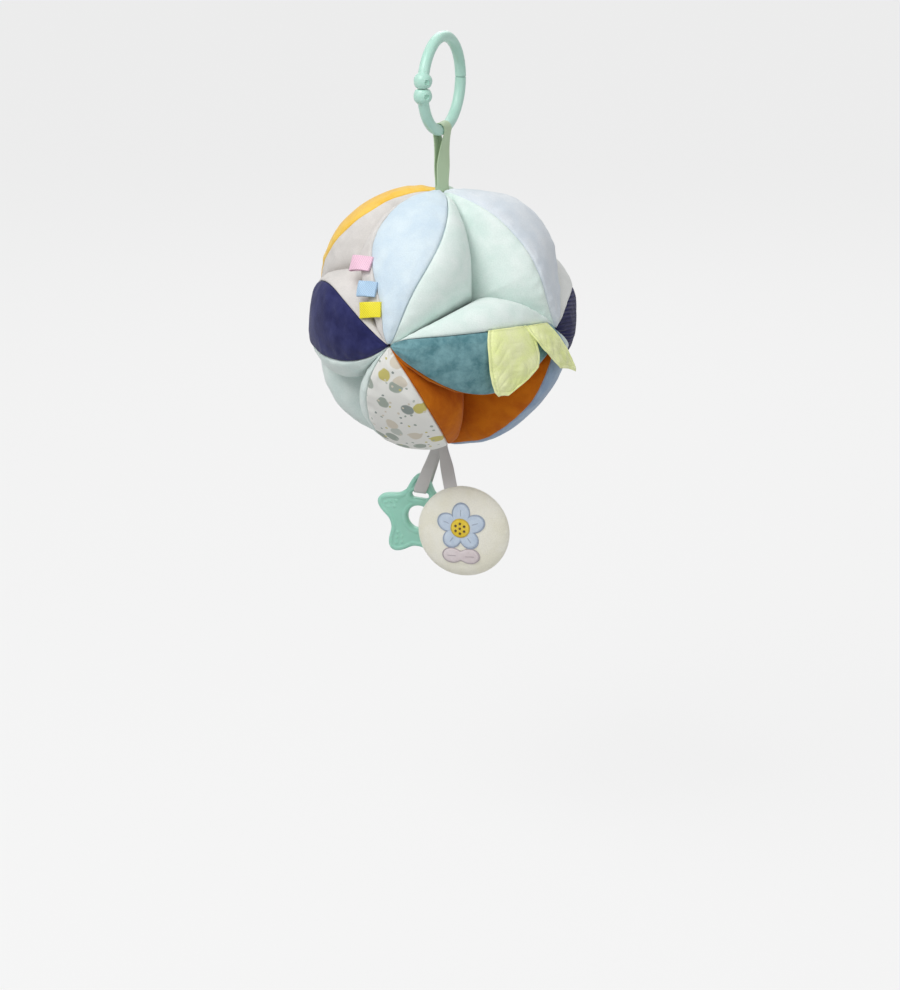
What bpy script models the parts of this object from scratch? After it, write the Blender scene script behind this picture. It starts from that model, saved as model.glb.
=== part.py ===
"""Hanging pram toy: a mint clip ring, a ribbon strap, a stuffed ball sewn from twelve pods with
finger hollows between them, and a star teether and a padded rattle disc on two ribbons below.

Units are metres, +Z is up and the front is -Y. The origin is the top of the ring's hole, where the
ring rests on a bar. The bar runs along X."""

import math

import bmesh
import bpy
from mathutils import Matrix, Vector

# Clearances and cloths
GAP = 0.0003
MERGE_DISTANCE = 0.00001
CLOTH = 0.0010
RIBBON = 0.0007

# Clip ring: one round wire in the YZ plane, with a knob on each side of its slit
RING_OUTER_RADIUS = 0.0325
RING_WIRE_RADIUS = 0.0035
RING_SLIT = 0.0007
RING_SLIT_RISE = math.radians(2)
KNOB_RADIUS = 0.00575
KNOB_LENGTH = 0.0086
DIMPLE_RADIUS = 0.0010
DIMPLE_DEPTH = 0.0012

# Hanger strap, looped round the ring's lowest point and sewn into the ball
STRAP_WIDTH = 0.0100
STRAP_LENGTH = 0.0336
STRAP_PLAY = 0.0004
SEWN_DEPTH = 0.0090
SEWN_STRAP_WIDTH = 0.0094
STRAP_PIVOT_RISE = 0.0032

# Ball of twelve pods: each pod runs between two of the six vertices
BALL_RADIUS = 0.0850
VERTEX_DIP = 0.0013
PANEL_HALF_WIDTH = 0.0230
SEAM_DIP = 0.0009
HOLLOW_DEPTH = 0.0287
INNER_SEAM_RADIUS = 0.0280
TIP_THICKNESS = 0.0045
SIDE_LEAN = math.radians(14)
ROLLED_OVER_LEAN = 4.2
ROLLED_BACK_LEAN = 2
SEAM_PULL_SHARE = 0.46
CREASE_PULL_SHARE = 0.60

# How far each pod has rolled about its middle line, as shares of the panels' half width, and how much
# a panel narrows towards its second vertex
ROLL_SHARES = {
    "top_right": -0.41, "top_left": 0.35, "front_right": -0.41, "front_left": 0.28,
    "right_bottom": -0.43, "right_back": -0.35,
}
NARROWING_SHARES = {"top_front": 1.3}

# Tag loops in the left seam of the light blue panel
TAG_WIDTH = 0.0095
TAG_LENGTH = 0.0135
TAG_OPENING = 0.0012

# Leaves in the upper seam of the teal panel
LEAF_DROP = 0.0435
SIDE_LEAF_DROP = 0.0285
LEAF_THICKNESS = 0.0026
LEAF_CLEARANCE = 0.0006
SIDE_LEAF_FLARE = 0.0085

# Pendant ribbons and how they leave the ball's lowest vertex
PENDANT_RIBBON_WIDTH = 0.0088
SEWN_PENDANT_WIDTH = 0.0064
PENDANT_PIVOT_DROP = 0.0015
PENDANT_LAYER_OFFSET = 0.0013
DISC_ROOT_SIDE = 0.0010

# Star teether
TEETHER_SIDE = -0.0178
TEETHER_SETBACK = 0.0035
TEETHER_DROP = 0.0538
TEETHER_TIP_RADIUS = 0.0300
TEETHER_WAIST_RADIUS = 0.0202
TEETHER_POINT_SHARPNESS = 1.4
TEETHER_THICKNESS = 0.0060
TEETHER_RIM_ROUND = 0.0018
TEETHER_HOLE_RADIUS = 0.0080
TEETHER_SLOT_WIDTH = 0.0120
TEETHER_SLOT_HEIGHT = 0.0046
TEETHER_SLOT_RADIUS = 0.0152
TEETHER_LEAN = math.radians(6)
TEETHER_SLIP = 0.0030

# Padded disc with a rattle inside
DISC_SIDE = 0.0198
DISC_FORWARD = 0.0100
DISC_DROP = 0.0546
DISC_RADIUS = 0.0303
DISC_HALF_THICKNESS = 0.0088
DISC_TURN = math.radians(10)
DISC_HANG_ANGLE = math.radians(17)
CAPSULE_RADIUS = 0.0110
CAPSULE_HALF_HEIGHT = 0.0050
CAPSULE_WALL = 0.0012
BEAD_RADIUS = 0.0018
FELT = 0.0006
FLOWER_RADIUS = 0.0160
PETAL_NOTCH_RADIUS = 0.0088
FLOWER_CENTRE_RADIUS = 0.0060
FLOWER_LEAF_LENGTH = 0.0122
FLOWER_LEAF_WIDTH = 0.0064
FLOWER_RISE = 0.0050

# Counts of steps and copies
POD_STEPS = 8
PANEL_STEPS = 3
SIDE_SHARES = (0.28, 0.55, 0.80)
WIRE_STEP = math.radians(6)
TEETHER_POINTS = 60
HOLE_STEPS = 24
TURN_STEPS = 28
PETALS = 5
BEADS = 3

QUARTER = math.pi / 2
UP = Vector((0, 0, 1))
FRONT = Vector((0, -1, 0))
RIGHT = Vector((1, 0, 0))

# Places worked out from the sizes
RING_MEAN_RADIUS = RING_OUTER_RADIUS - RING_WIRE_RADIUS
RING_CENTRE_Z = -(RING_OUTER_RADIUS - 2 * RING_WIRE_RADIUS)
VERTEX_RADIUS = BALL_RADIUS - VERTEX_DIP
VERTEX_HOLE = (SEWN_STRAP_WIDTH / 2 + GAP) * VERTEX_RADIUS / (VERTEX_RADIUS - TIP_THICKNESS)
TEETHER_ROOT_SIDE = (SEWN_PENDANT_WIDTH - SEWN_STRAP_WIDTH) / 2
BALL_TOP_Z = RING_CENTRE_Z - RING_OUTER_RADIUS - STRAP_LENGTH
BALL_CENTRE = Vector((0, 0, BALL_TOP_Z - VERTEX_RADIUS))
TAB_RADIUS = RIBBON + GAP / 2
STRAP_PIVOT_Z = BALL_TOP_Z + STRAP_PIVOT_RISE
PENDANT_PIVOT_Z = BALL_CENTRE.z - VERTEX_RADIUS - PENDANT_PIVOT_DROP
TEETHER_ROOT = Vector((TEETHER_ROOT_SIDE, PENDANT_LAYER_OFFSET, PENDANT_PIVOT_Z))
DISC_ROOT = Vector((DISC_ROOT_SIDE, -PENDANT_LAYER_OFFSET, PENDANT_PIVOT_Z))
TEETHER_CENTRE = Vector((TEETHER_SIDE, TEETHER_SETBACK, BALL_CENTRE.z - VERTEX_RADIUS - TEETHER_DROP))
DISC_CENTRE = Vector((DISC_SIDE, -DISC_FORWARD, BALL_CENTRE.z - VERTEX_RADIUS - DISC_DROP))

for old in list(bpy.data.objects):
    bpy.data.objects.remove(old)

collection = bpy.data.collections.new("hanging_pram_toy")
bpy.context.scene.collection.children.link(collection)
cutter_collection = bpy.data.collections.new("cutters")
bpy.context.scene.collection.children.link(cutter_collection)


def finish_material(name, colour, roughness):
    """A plain material of one colour, made once for each finish."""
    material = bpy.data.materials.get(name)
    if material is None:
        material = bpy.data.materials.new(name)
        material.use_nodes = True
        shader = material.node_tree.nodes["Principled BSDF"]
        shader.inputs["Base Color"].default_value = (*colour, 1)
        shader.inputs["Roughness"].default_value = roughness
        shader.inputs["Metallic"].default_value = 0
        material.diffuse_color = (*colour, 1)
    return material


MINT_PLASTIC = finish_material("mint plastic", (0.60, 0.88, 0.78), 0.35)
SAGE_RIBBON = finish_material("sage ribbon", (0.55, 0.75, 0.60), 0.6)
GREY_RIBBON = finish_material("grey ribbon", (0.45, 0.42, 0.42), 0.5)
MINT_SILICONE = finish_material("mint silicone", (0.30, 0.66, 0.50), 0.45)
CREAM_VELOUR = finish_material("cream velour", (0.93, 0.90, 0.76), 0.9)
WADDING = finish_material("wadding", (0.90, 0.90, 0.88), 1)
LIME_PLUSH = finish_material("lime plush", (0.80, 0.90, 0.38), 0.95)
CLEAR_GREY_PLASTIC = finish_material("capsule plastic", (0.75, 0.77, 0.80), 0.4)


def put(name, mesh, material, place):
    """Links a mesh to the scene as a named object with its material, shaded smooth by angle."""
    thing = bpy.data.objects.new(name, mesh)
    place.objects.link(thing)
    mesh.materials.clear()
    mesh.materials.append(material)
    mesh.shade_smooth()
    mesh.set_sharp_from_angle(angle=math.radians(40))
    return thing


def finish_shape(name, shape, material, place=collection):
    """Turns a bmesh into a named object with its faces pointing out."""
    bmesh.ops.recalc_face_normals(shape, faces=shape.faces)
    mesh = bpy.data.meshes.new(name)
    shape.to_mesh(mesh)
    shape.free()
    return put(name, mesh, material, place)


def loft(shape, sections, folds_at=None):
    """Adds one closed solid through like loops of points, capped at both ends. From folds_at on, a
    loop runs back along its inner side, and its faces are split to match those of the outer side."""
    loops = [[shape.verts.new(point) for point in section] for section in sections]
    count = len(sections[0])
    for lower, upper in zip(loops, loops[1:]):
        for i in range(count):
            j = (i + 1) % count
            if folds_at is not None and i >= folds_at:
                shape.faces.new((lower[i], lower[j], upper[i]))
                shape.faces.new((lower[j], upper[j], upper[i]))
            else:
                shape.faces.new((lower[i], lower[j], upper[j]))
                shape.faces.new((lower[i], upper[j], upper[i]))
    shape.faces.new(loops[0])
    shape.faces.new(loops[-1][::-1])


def mix(first, second, share):
    return first + (second - first) * share


def offset_line(path, distance):
    """The points of a flat line moved sideways by a distance, mitred at each bend."""
    moved = []
    for i, point in enumerate(path):
        before = (point - path[i - 1]).normalized() if i else None
        after = (path[i + 1] - point).normalized() if i + 1 < len(path) else None
        before = before or after
        after = after or before
        normal = Vector((-before.y - after.y, before.x + after.x)).normalized()
        bend = max(normal.dot(Vector((-after.y, after.x))), 0.6)
        moved.append(point + normal * distance / bend)
    return moved


def band(shape, path, thickness, across, place):
    """A ribbon along a flat path, lofted across its width: place(point, side) gives a world point."""
    near = offset_line(path, thickness / 2)
    far = offset_line(path, -thickness / 2)
    outline = near + far[::-1]
    loft(shape, [[place(point, side) for point in outline] for side in across], len(near))


def arc(centre, radius, start, end, steps):
    """Points on an arc in a flat path's own plane, both ends included."""
    turns = [mix(start, end, i / steps) for i in range(steps + 1)]
    return [centre + radius * Vector((math.cos(turn), math.sin(turn))) for turn in turns]


def turned(name, material, profile, matrix, steps=TURN_STEPS):
    """A shape turned about its own Z axis. The profile runs down its outer side."""
    mesh = bpy.data.meshes.new(name)
    points = [(radius, 0, height) for radius, height in profile]
    mesh.from_pydata(points, [(i, i + 1) for i in range(len(points) - 1)], [])
    thing = put(name, mesh, material, collection)
    thing.matrix_world = matrix
    screw = thing.modifiers.new("turned", "SCREW")
    screw.angle = 2 * math.pi
    screw.steps = steps
    screw.render_steps = steps
    screw.use_merge_vertices = True
    screw.merge_threshold = MERGE_DISTANCE
    screw.use_normal_calculate = False
    return thing


def curve_to_mesh(name, curve, material, place=collection):
    """Makes a curve a closed mesh object, with its loose caps merged to its sides."""
    guide = bpy.data.objects.new(name + "_guide", curve)
    collection.objects.link(guide)
    bpy.context.view_layer.update()
    evaluated = guide.evaluated_get(bpy.context.evaluated_depsgraph_get())
    mesh = bpy.data.meshes.new_from_object(evaluated)
    shape = bmesh.new()
    shape.from_mesh(mesh)
    bmesh.ops.remove_doubles(shape, verts=shape.verts, dist=MERGE_DISTANCE)
    bpy.data.objects.remove(guide)
    bpy.data.meshes.remove(mesh)
    return finish_shape(name, shape, material, place)


# Clip ring

def ring_point(turn):
    """A point on the ring's wire: 0 is its lowest point and a quarter turn is its back."""
    return Vector((0, RING_MEAN_RADIUS * math.sin(turn), RING_CENTRE_Z - RING_MEAN_RADIUS * math.cos(turn)))


def ring_arc(name, split, slit):
    """Half of the ring, from the split at its back to the slit at its front, where its knob is."""
    knob_turn = KNOB_LENGTH / RING_MEAN_RADIUS
    direction = math.copysign(1, slit - split)
    knob_start = slit - direction * knob_turn
    wire_steps = round(abs(knob_start - split) / WIRE_STEP)
    wire_places = [0, 0.1] + list(range(1, wire_steps))
    turns = [mix(split, knob_start, place / wire_steps) for place in wire_places]
    swells = [1] * len(turns)
    knob_swell = KNOB_RADIUS / RING_WIRE_RADIUS
    knob_shares = ((0, 0), (0.16, 0.25), (0.32, 0.70), (0.5, 0.95), (0.7, 1), (0.88, 0.92), (1, 0.72))
    for along_share, swell_share in knob_shares:
        turns.append(mix(knob_start, slit, along_share))
        swells.append(mix(1, knob_swell, swell_share))

    curve = bpy.data.curves.new(name, "CURVE")
    curve.dimensions = "3D"
    curve.bevel_depth = RING_WIRE_RADIUS
    curve.bevel_resolution = 3
    curve.use_fill_caps = True
    spline = curve.splines.new("POLY")
    spline.points.add(len(turns) - 1)
    for place, turn, swell in zip(spline.points, turns, swells):
        place.co = (*ring_point(turn), 1)
        place.radius = swell
    wire = curve_to_mesh(name, curve, MINT_PLASTIC)

    dimple_turn = mix(knob_start, slit, 0.55)
    bpy.ops.mesh.primitive_cylinder_add(vertices=12, radius=DIMPLE_RADIUS, depth=2 * DIMPLE_DEPTH)
    dimple = bpy.context.object
    dimple.name = name + "_dimple"
    dimple.matrix_world = (Matrix.Translation(ring_point(dimple_turn) + RIGHT * KNOB_RADIUS)
                           @ Matrix.Rotation(QUARTER, 4, "Y"))
    bpy.context.collection.objects.unlink(dimple)
    cutter_collection.objects.link(dimple)
    dimple.hide_render = True
    dimple.display_type = "WIRE"
    cut = wire.modifiers.new("dimple", "BOOLEAN")
    cut.operation = "DIFFERENCE"
    cut.solver = "EXACT"
    cut.object = dimple


slit_turn = -(QUARTER + RING_SLIT_RISE)
half_slit = RING_SLIT / 2 / RING_MEAN_RADIUS
half_split = GAP / 2 / RING_MEAN_RADIUS
ring_arc("ring_lower_arc", QUARTER - half_split, slit_turn + half_slit)
ring_arc("ring_upper_arc", QUARTER + half_split, slit_turn + 2 * math.pi - half_slit)


# Hanger strap

def saddle(side):
    """How far the ring's wire rises at this distance from its lowest point."""
    return RING_MEAN_RADIUS - math.sqrt(RING_MEAN_RADIUS ** 2 - side ** 2)


wire_centre = Vector((0, RING_CENTRE_Z - RING_MEAN_RADIUS))
loop_radius = RING_WIRE_RADIUS + STRAP_PLAY + RIBBON / 2
strap_end_z = STRAP_PIVOT_Z + TAB_RADIUS + GAP
layer_side = (RIBBON + GAP) / 2
lean = math.atan2(loop_radius - layer_side, wire_centre.y - strap_end_z)
strap_path = [Vector((layer_side, strap_end_z))]
strap_path += arc(wire_centre, loop_radius, -lean, math.pi + lean, 10)
strap_path.append(Vector((-layer_side, strap_end_z)))


def strap_place(point, side):
    """The strap lies across the wire at its loop and flattens out towards its sewn end."""
    share = min(max((point.y - strap_end_z) / (wire_centre.y - strap_end_z), 0), 1)
    return Vector((point.x, side, point.y + saddle(side) * share))


strap_shape = bmesh.new()
strap_sides = [STRAP_WIDTH * share for share in (-0.5, -0.25, 0, 0.25, 0.5)]
band(strap_shape, strap_path, RIBBON, strap_sides, strap_place)
finish_shape("hanger_strap", strap_shape, SAGE_RIBBON)


def sewn_end(name, material, pivot, width_axis, width, inward):
    """The end of a ribbon that is sewn into the ball, with a round edge where the ribbon bends."""
    thickness_axis = width_axis.cross(inward)
    outline = [(math.cos(turn) * TAB_RADIUS, -math.sin(turn) * TAB_RADIUS)
               for turn in (0, math.pi / 4, QUARTER, 3 * math.pi / 4, math.pi)]
    outline += [(-TAB_RADIUS, SEWN_DEPTH), (TAB_RADIUS, SEWN_DEPTH)]
    sections = []
    for side in (-width / 2, width / 2):
        edge = pivot + width_axis * side
        sections.append([edge + thickness_axis * out + inward * depth for out, depth in outline])
    shape = bmesh.new()
    loft(shape, sections)
    finish_shape(name, shape, material)


sewn_end("strap_sewn_end", SAGE_RIBBON, Vector((0, 0, STRAP_PIVOT_Z)), -FRONT, SEWN_STRAP_WIDTH, -UP)


# Ball: outer panels, linings of the hollows, and stuffing

def panel_half_width(turn):
    """Half width of an outer panel: its seams are arcs through the pod's two vertices."""
    middle = math.sqrt((BALL_RADIUS ** 2 - PANEL_HALF_WIDTH ** 2) / 2)
    slope = (2 * middle - BALL_RADIUS) / PANEL_HALF_WIDTH
    spread = (math.cos(turn) + math.sin(turn)) ** 2
    a = slope ** 2 / spread + 1
    b = 2 * BALL_RADIUS * slope / spread
    c = BALL_RADIUS ** 2 * (1 / spread - 1)
    return (math.sqrt(b * b - 4 * a * c) - b) / (2 * a)


def panel_edge(pod, turn, side):
    """Signed place of a panel's seam beside the pod's middle line."""
    narrowed = 1 - NARROWING_SHARES.get(pod, 0) * (turn / QUARTER) ** 4 * math.sin(2 * turn)
    roll = ROLL_SHARES.get(pod, 0) * PANEL_HALF_WIDTH
    return side * narrowed * panel_half_width(turn) + roll * math.sin(2 * turn) ** 2


def tip_share(turn):
    """0 in the middle of a pod and 1 at either vertex."""
    return 1 - min(turn, QUARTER - turn) / (QUARTER / 2)


def wall_slope(turn):
    """Slope of the plane that a pod shares with its neighbour, in the pod's section at a turn."""
    return min(math.cos(turn), math.sin(turn))


def outer_radius(turn, side):
    """Distance from the pod's own axis to its outer skin, at this distance from its middle line."""
    ball = BALL_RADIUS - VERTEX_DIP * tip_share(turn) ** 4
    return math.sqrt(ball ** 2 - side ** 2)


def side_lean(turn, edge):
    """How far a pod's side turns inwards at its seam. It turns more where the seam is rolled over."""
    rolled = (edge - panel_half_width(turn)) / PANEL_HALF_WIDTH
    return SIDE_LEAN * (1 + (ROLLED_OVER_LEAN if rolled > 0 else ROLLED_BACK_LEAN) * rolled)


def side_points(pod, turn, side):
    """A pod's side as (radius, sideways), from its outer seam to the crease with its neighbour.
    It leaves the seam along the ball and swells until it meets the neighbour's."""
    edge = side * panel_edge(pod, turn, side)
    seam = Vector((outer_radius(turn, edge) - SEAM_DIP, edge))
    floor_radius = (BALL_RADIUS - HOLLOW_DEPTH) * math.sqrt(2 / 3)
    crease_radius = mix(floor_radius, VERTEX_RADIUS, tip_share(turn) ** 1.5)
    crease = Vector((crease_radius, crease_radius * wall_slope(turn)))
    reach = (crease - seam).length
    along_ball = Vector((-seam.y, seam.x)).normalized()
    along_ball.rotate(Matrix.Rotation(side_lean(turn, edge), 2))
    leaving = seam + along_ball * reach * SEAM_PULL_SHARE
    meeting = crease + crease.normalized() * reach * CREASE_PULL_SHARE
    points = [seam]
    for share in SIDE_SHARES:
        rest = 1 - share
        point = (seam * rest ** 3 + leaving * 3 * rest ** 2 * share
                 + meeting * 3 * rest * share ** 2 + crease * share ** 3)
        points.append(Vector((point.x, min(point.y, point.x * wall_slope(turn) - GAP))))
    return points + [crease]


def pod_outline(pod, turn):
    """A pod's outline: across its outer panel, down its positive side, and up its negative side."""
    left = panel_edge(pod, turn, -1)
    right = panel_edge(pod, turn, 1)
    outer = []
    for i in range(1, PANEL_STEPS):
        share = i / PANEL_STEPS
        side = mix(left, right, share)
        dip = SEAM_DIP * (2 * share - 1) ** 2
        outer.append(Vector((outer_radius(turn, side) - dip, side)))
    positive = side_points(pod, turn, 1)
    negative = [Vector((point.x, -point.y)) for point in side_points(pod, turn, -1)]
    inner_radius = mix(INNER_SEAM_RADIUS, VERTEX_RADIUS - TIP_THICKNESS, tip_share(turn) ** 1.5)
    return [negative[0]] + outer + positive + [Vector((inner_radius, 0))] + negative[:0:-1]


def inset_outline(outline, distance, crease_depth, crease_gap):
    """The outline moved inwards. Its creases move in along the planes between the pods."""
    count = len(outline)
    moved = []
    for i, point in enumerate(outline):
        before = (point - outline[i - 1]).normalized()
        after = (outline[(i + 1) % count] - point).normalized()
        normal = Vector((-before.y - after.y, before.x + after.x)).normalized()
        bend = max(normal.dot(Vector((-after.y, after.x))), 0.6)
        moved.append(point + normal * distance / bend)
    for i in (LAST_POSITIVE, LAST_POSITIVE + 2):
        crease = outline[i] - outline[i].normalized() * crease_depth
        moved[i] = crease - Vector((0, math.copysign(crease_gap, crease.y)))
    moved[LAST_POSITIVE + 1] = outline[LAST_POSITIVE + 1]
    return moved


def drawn_back(line, end):
    """A line of points with one end drawn back from its seam: 0 is the first point, -1 the last."""
    line = list(line)
    neighbour = line[1] if end == 0 else line[-2]
    line[end] = line[end] + (neighbour - line[end]).normalized() * GAP
    return line


SKY = finish_material("sky velour", (0.76, 0.85, 0.90), 0.9)
PALE_GREY = finish_material("pale grey velour", (0.66, 0.70, 0.73), 0.9)
MUSTARD = finish_material("mustard velour", (0.92, 0.61, 0.09), 0.9)
SAGE = finish_material("sage velour", (0.50, 0.66, 0.52), 0.9)
TEAL = finish_material("teal plush", (0.13, 0.32, 0.37), 0.95)
NAVY = finish_material("navy plush", (0.03, 0.03, 0.13), 0.95)
PRINT = finish_material("printed cotton", (0.72, 0.72, 0.68), 0.85)
STEEL_BLUE = finish_material("steel blue velour", (0.30, 0.42, 0.55), 0.9)
PALE_MINT = finish_material("pale mint velour", (0.72, 0.84, 0.80), 0.9)
WHITE = finish_material("white velour", (0.84, 0.86, 0.85), 0.9)
RUST = finish_material("rust velour", (0.51, 0.14, 0.01), 0.9)
BEIGE = finish_material("beige grey velour", (0.71, 0.68, 0.65), 0.9)
MINT = finish_material("mint velour", (0.66, 0.86, 0.78), 0.9)

PODS = (
    ("top_front", UP, FRONT, SKY),
    ("top_right", UP, RIGHT, PALE_GREY),
    ("top_left", UP, -RIGHT, MUSTARD),
    ("top_back", UP, -FRONT, SAGE),
    ("front_right", FRONT, RIGHT, TEAL),
    ("front_left", FRONT, -RIGHT, NAVY),
    ("front_bottom", FRONT, -UP, PRINT),
    ("right_bottom", RIGHT, -UP, STEEL_BLUE),
    ("left_bottom", -RIGHT, -UP, PALE_MINT),
    ("right_back", RIGHT, -FRONT, NAVY),
    ("left_back", -RIGHT, -FRONT, TEAL),
    ("bottom_back", -UP, -FRONT, MUSTARD),
)
HOLLOWS = {
    "top_front_right": MINT,
    "top_front_left": BEIGE,
    "top_back_right": WHITE,
    "top_back_left": STEEL_BLUE,
    "bottom_front_right": RUST,
    "bottom_front_left": PALE_MINT,
    "bottom_back_right": MINT,
    "bottom_back_left": BEIGE,
}
LAST_POSITIVE = PANEL_STEPS + len(SIDE_SHARES) + 1


def hollow_name(direction):
    """The hollow that lies in this direction from the ball's centre."""
    return "_".join(("top" if direction.z > 0 else "bottom", "front" if direction.y < 0 else "back",
                     "right" if direction.x > 0 else "left"))


class Lining:
    """The cloth of one hollow: three gores sewn together along its creases, as one thin shell."""

    def __init__(self):
        self.shape = bmesh.new()
        self.places = {}
        self.faces = []

    def corner(self, key, outer, inner):
        """The pair of vertices on the cloth's two faces. Creases are shared between two gores."""
        if key not in self.places:
            self.places[key] = (self.shape.verts.new(outer), self.shape.verts.new(inner))
        return key

    def gore(self, rows, upright):
        """One gore through rows of corners. Its faces are split to match those of the stuffing."""
        for lower, upper in zip(rows, rows[1:]):
            for i in range(len(lower) - 1):
                corners = (lower[i], lower[i + 1], upper[i + 1], upper[i])
                if not upright:
                    corners = corners[1:] + corners[:1]
                self.faces.append((corners[0], corners[1], corners[2]))
                self.faces.append((corners[0], corners[2], corners[3]))

    def finish(self, name, material):
        edges = {}
        for face in self.faces:
            self.shape.faces.new([self.places[key][0] for key in face])
            self.shape.faces.new([self.places[key][1] for key in reversed(face)])
            for first, second in zip(face, face[1:] + face[:1]):
                edges.setdefault(frozenset((first, second)), []).append((first, second))
        for uses in edges.values():
            if len(uses) == 1:
                first, second = (self.places[key] for key in uses[0])
                self.shape.faces.new((first[0], second[0], second[1], first[1]))
        finish_shape(name, self.shape, material)


first_turn = math.asin(VERTEX_HOLE / VERTEX_RADIUS)
pod_turns = [mix(first_turn, QUARTER - first_turn, i / POD_STEPS) for i in range(POD_STEPS + 1)]
linings = {name: Lining() for name in HOLLOWS}

for name, first, second, material in PODS:
    sideways = first.cross(second)
    if sideways.z + sideways.x - sideways.y < 0:
        sideways = -sideways
    panel_sections = []
    stuffing_sections = []
    gores = {1: [], -1: []}

    def world(turn, line):
        out = first * math.cos(turn) + second * math.sin(turn)
        return [BALL_CENTRE + out * point.x + sideways * point.y for point in line]

    for step, turn in enumerate(pod_turns):
        skin = pod_outline(name, turn)
        back = inset_outline(skin, CLOTH, 2 * CLOTH, 0)
        core = inset_outline(skin, CLOTH + GAP, 2 * CLOTH + 3 * GAP, GAP)
        panel = [drawn_back(drawn_back(line[:PANEL_STEPS + 1], 0), -1) for line in (skin, back)]
        panel_sections.append(world(turn, panel[0] + panel[1][::-1]))
        stuffing_sections.append(world(turn, core))
        nearest = first if 2 * step < POD_STEPS else second
        crease_step = min(step, POD_STEPS - step)
        for side in (1, -1):
            if side > 0:
                lines = [drawn_back(line[PANEL_STEPS:LAST_POSITIVE + 1], 0) for line in (skin, back)]
            else:
                lines = [drawn_back(line[LAST_POSITIVE + 2:] + line[:1], -1)[::-1] for line in (skin, back)]
            lining = linings[hollow_name(first + second + sideways * side)]
            row = []
            for i, (outer, inner) in enumerate(zip(world(turn, lines[0]), world(turn, lines[1]))):
                key = (name, step, i)
                if i == len(lines[0]) - 1:
                    key = "floor" if 2 * step == POD_STEPS else (tuple(nearest), crease_step)
                row.append(lining.corner(key, outer, inner))
            gores[side].append(row)
    linings[hollow_name(first + second + sideways)].gore(gores[1], True)
    linings[hollow_name(first + second - sideways)].gore(gores[-1], False)

    shape = bmesh.new()
    loft(shape, panel_sections, PANEL_STEPS + 1)
    finish_shape("panel_" + name, shape, material)
    shape = bmesh.new()
    loft(shape, stuffing_sections)
    finish_shape("stuffing_" + name, shape, WADDING)

for name, lining in linings.items():
    lining.finish("lining_" + name, HOLLOWS[name])


# Tag loops

TAGS = (
    ("tag_pink", 55, finish_material("pink ribbon", (0.95, 0.60, 0.75), 0.6)),
    ("tag_blue", 65, finish_material("blue ribbon", (0.45, 0.68, 0.90), 0.6)),
    ("tag_yellow", 75, finish_material("yellow ribbon", (0.95, 0.85, 0.03), 0.6)),
)
tag_lift = TAG_OPENING / 2 + RIBBON + GAP - SEAM_DIP
tag_roots = {}

for name, degrees, material in TAGS:
    turn = math.radians(degrees)
    seam_side = -panel_edge("top_front", turn, -1)
    out = UP * math.cos(turn) + FRONT * math.sin(turn)
    seam = BALL_CENTRE + out * outer_radius(turn, seam_side) - RIGHT * seam_side
    normal = (seam - BALL_CENTRE).normalized()
    outwards = (-RIGHT + normal * RIGHT.dot(normal)).normalized()
    along = normal.cross(outwards)
    root = seam + normal * tag_lift
    tag_roots[name] = root
    layer = (TAG_OPENING + RIBBON) / 2
    path = [Vector((0, layer))]
    path += arc(Vector((TAG_LENGTH - layer, 0)), layer, QUARTER, -QUARTER, 6)
    path.append(Vector((0, -layer)))
    shape = bmesh.new()
    band(shape, path, RIBBON, (-TAG_WIDTH / 2, TAG_WIDTH / 2),
         lambda point, side: root + outwards * point.x + normal * point.y + along * side)
    finish_shape(name, shape, material)


# Leaves

def leaf(name, rows, drop, flare):
    """A plush leaf that hangs from the teal panel's upper seam. A row gives how far down it is, as a
    share of the leaf's drop, and the turns of its two edges in degrees round from the front."""
    across_shares = (0, 0.25, 0.5, 0.75, 1)
    sections = []
    for drop_share, left, right in rows:
        outer = []
        inner = []
        for share in across_shares:
            turn = math.radians(mix(left, right, share))
            seam_height = panel_edge("front_right", turn, 1)
            seam_radius = outer_radius(turn, seam_height) - SEAM_DIP + GAP
            hang = BALL_RADIUS + LEAF_CLEARANCE
            radius = mix(seam_radius, hang, min(4 * drop_share, 1)) + flare * drop_share
            height = seam_height - drop * drop_share
            edge_share = 1 - 0.55 * abs(2 * share - 1) ** 3
            out = FRONT * math.cos(turn) + RIGHT * math.sin(turn)
            inner.append(BALL_CENTRE + out * radius + UP * height)
            outer.append(BALL_CENTRE + out * (radius + LEAF_THICKNESS * edge_share) + UP * height)
        sections.append(outer + inner[::-1])
    shape = bmesh.new()
    loft(shape, sections, len(across_shares))
    finish_shape(name, shape, LIME_PLUSH)


def leaf_root(rows):
    """The middle of the seam that a leaf hangs from, which it folds up about."""
    turn = math.radians((rows[0][1] + rows[0][2]) / 2)
    seam_height = panel_edge("front_right", turn, 1)
    out = FRONT * math.cos(turn) + RIGHT * math.sin(turn)
    return BALL_CENTRE + out * (outer_radius(turn, seam_height) - SEAM_DIP + GAP) + UP * seam_height


leaf_front_shares = ((0, 44, 64), (0.10, 43.6, 65.6), (0.22, 43.6, 66.8), (0.42, 44, 68.6),
                     (0.62, 44.8, 67.6), (0.78, 45.4, 63), (0.92, 46.4, 57), (1, 48.6, 52.4))
leaf_side_shares = ((0, 65.2, 77.4), (0.12, 66.8, 79.4), (0.28, 69, 81.8), (0.5, 72.2, 85),
                    (0.72, 76.2, 87.6), (0.9, 80, 89.2), (1, 82.4, 88.6))
leaf("leaf_front", leaf_front_shares, LEAF_DROP, 0)
leaf("leaf_side", leaf_side_shares, SIDE_LEAF_DROP, SIDE_LEAF_FLARE)


# Star teether

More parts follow.
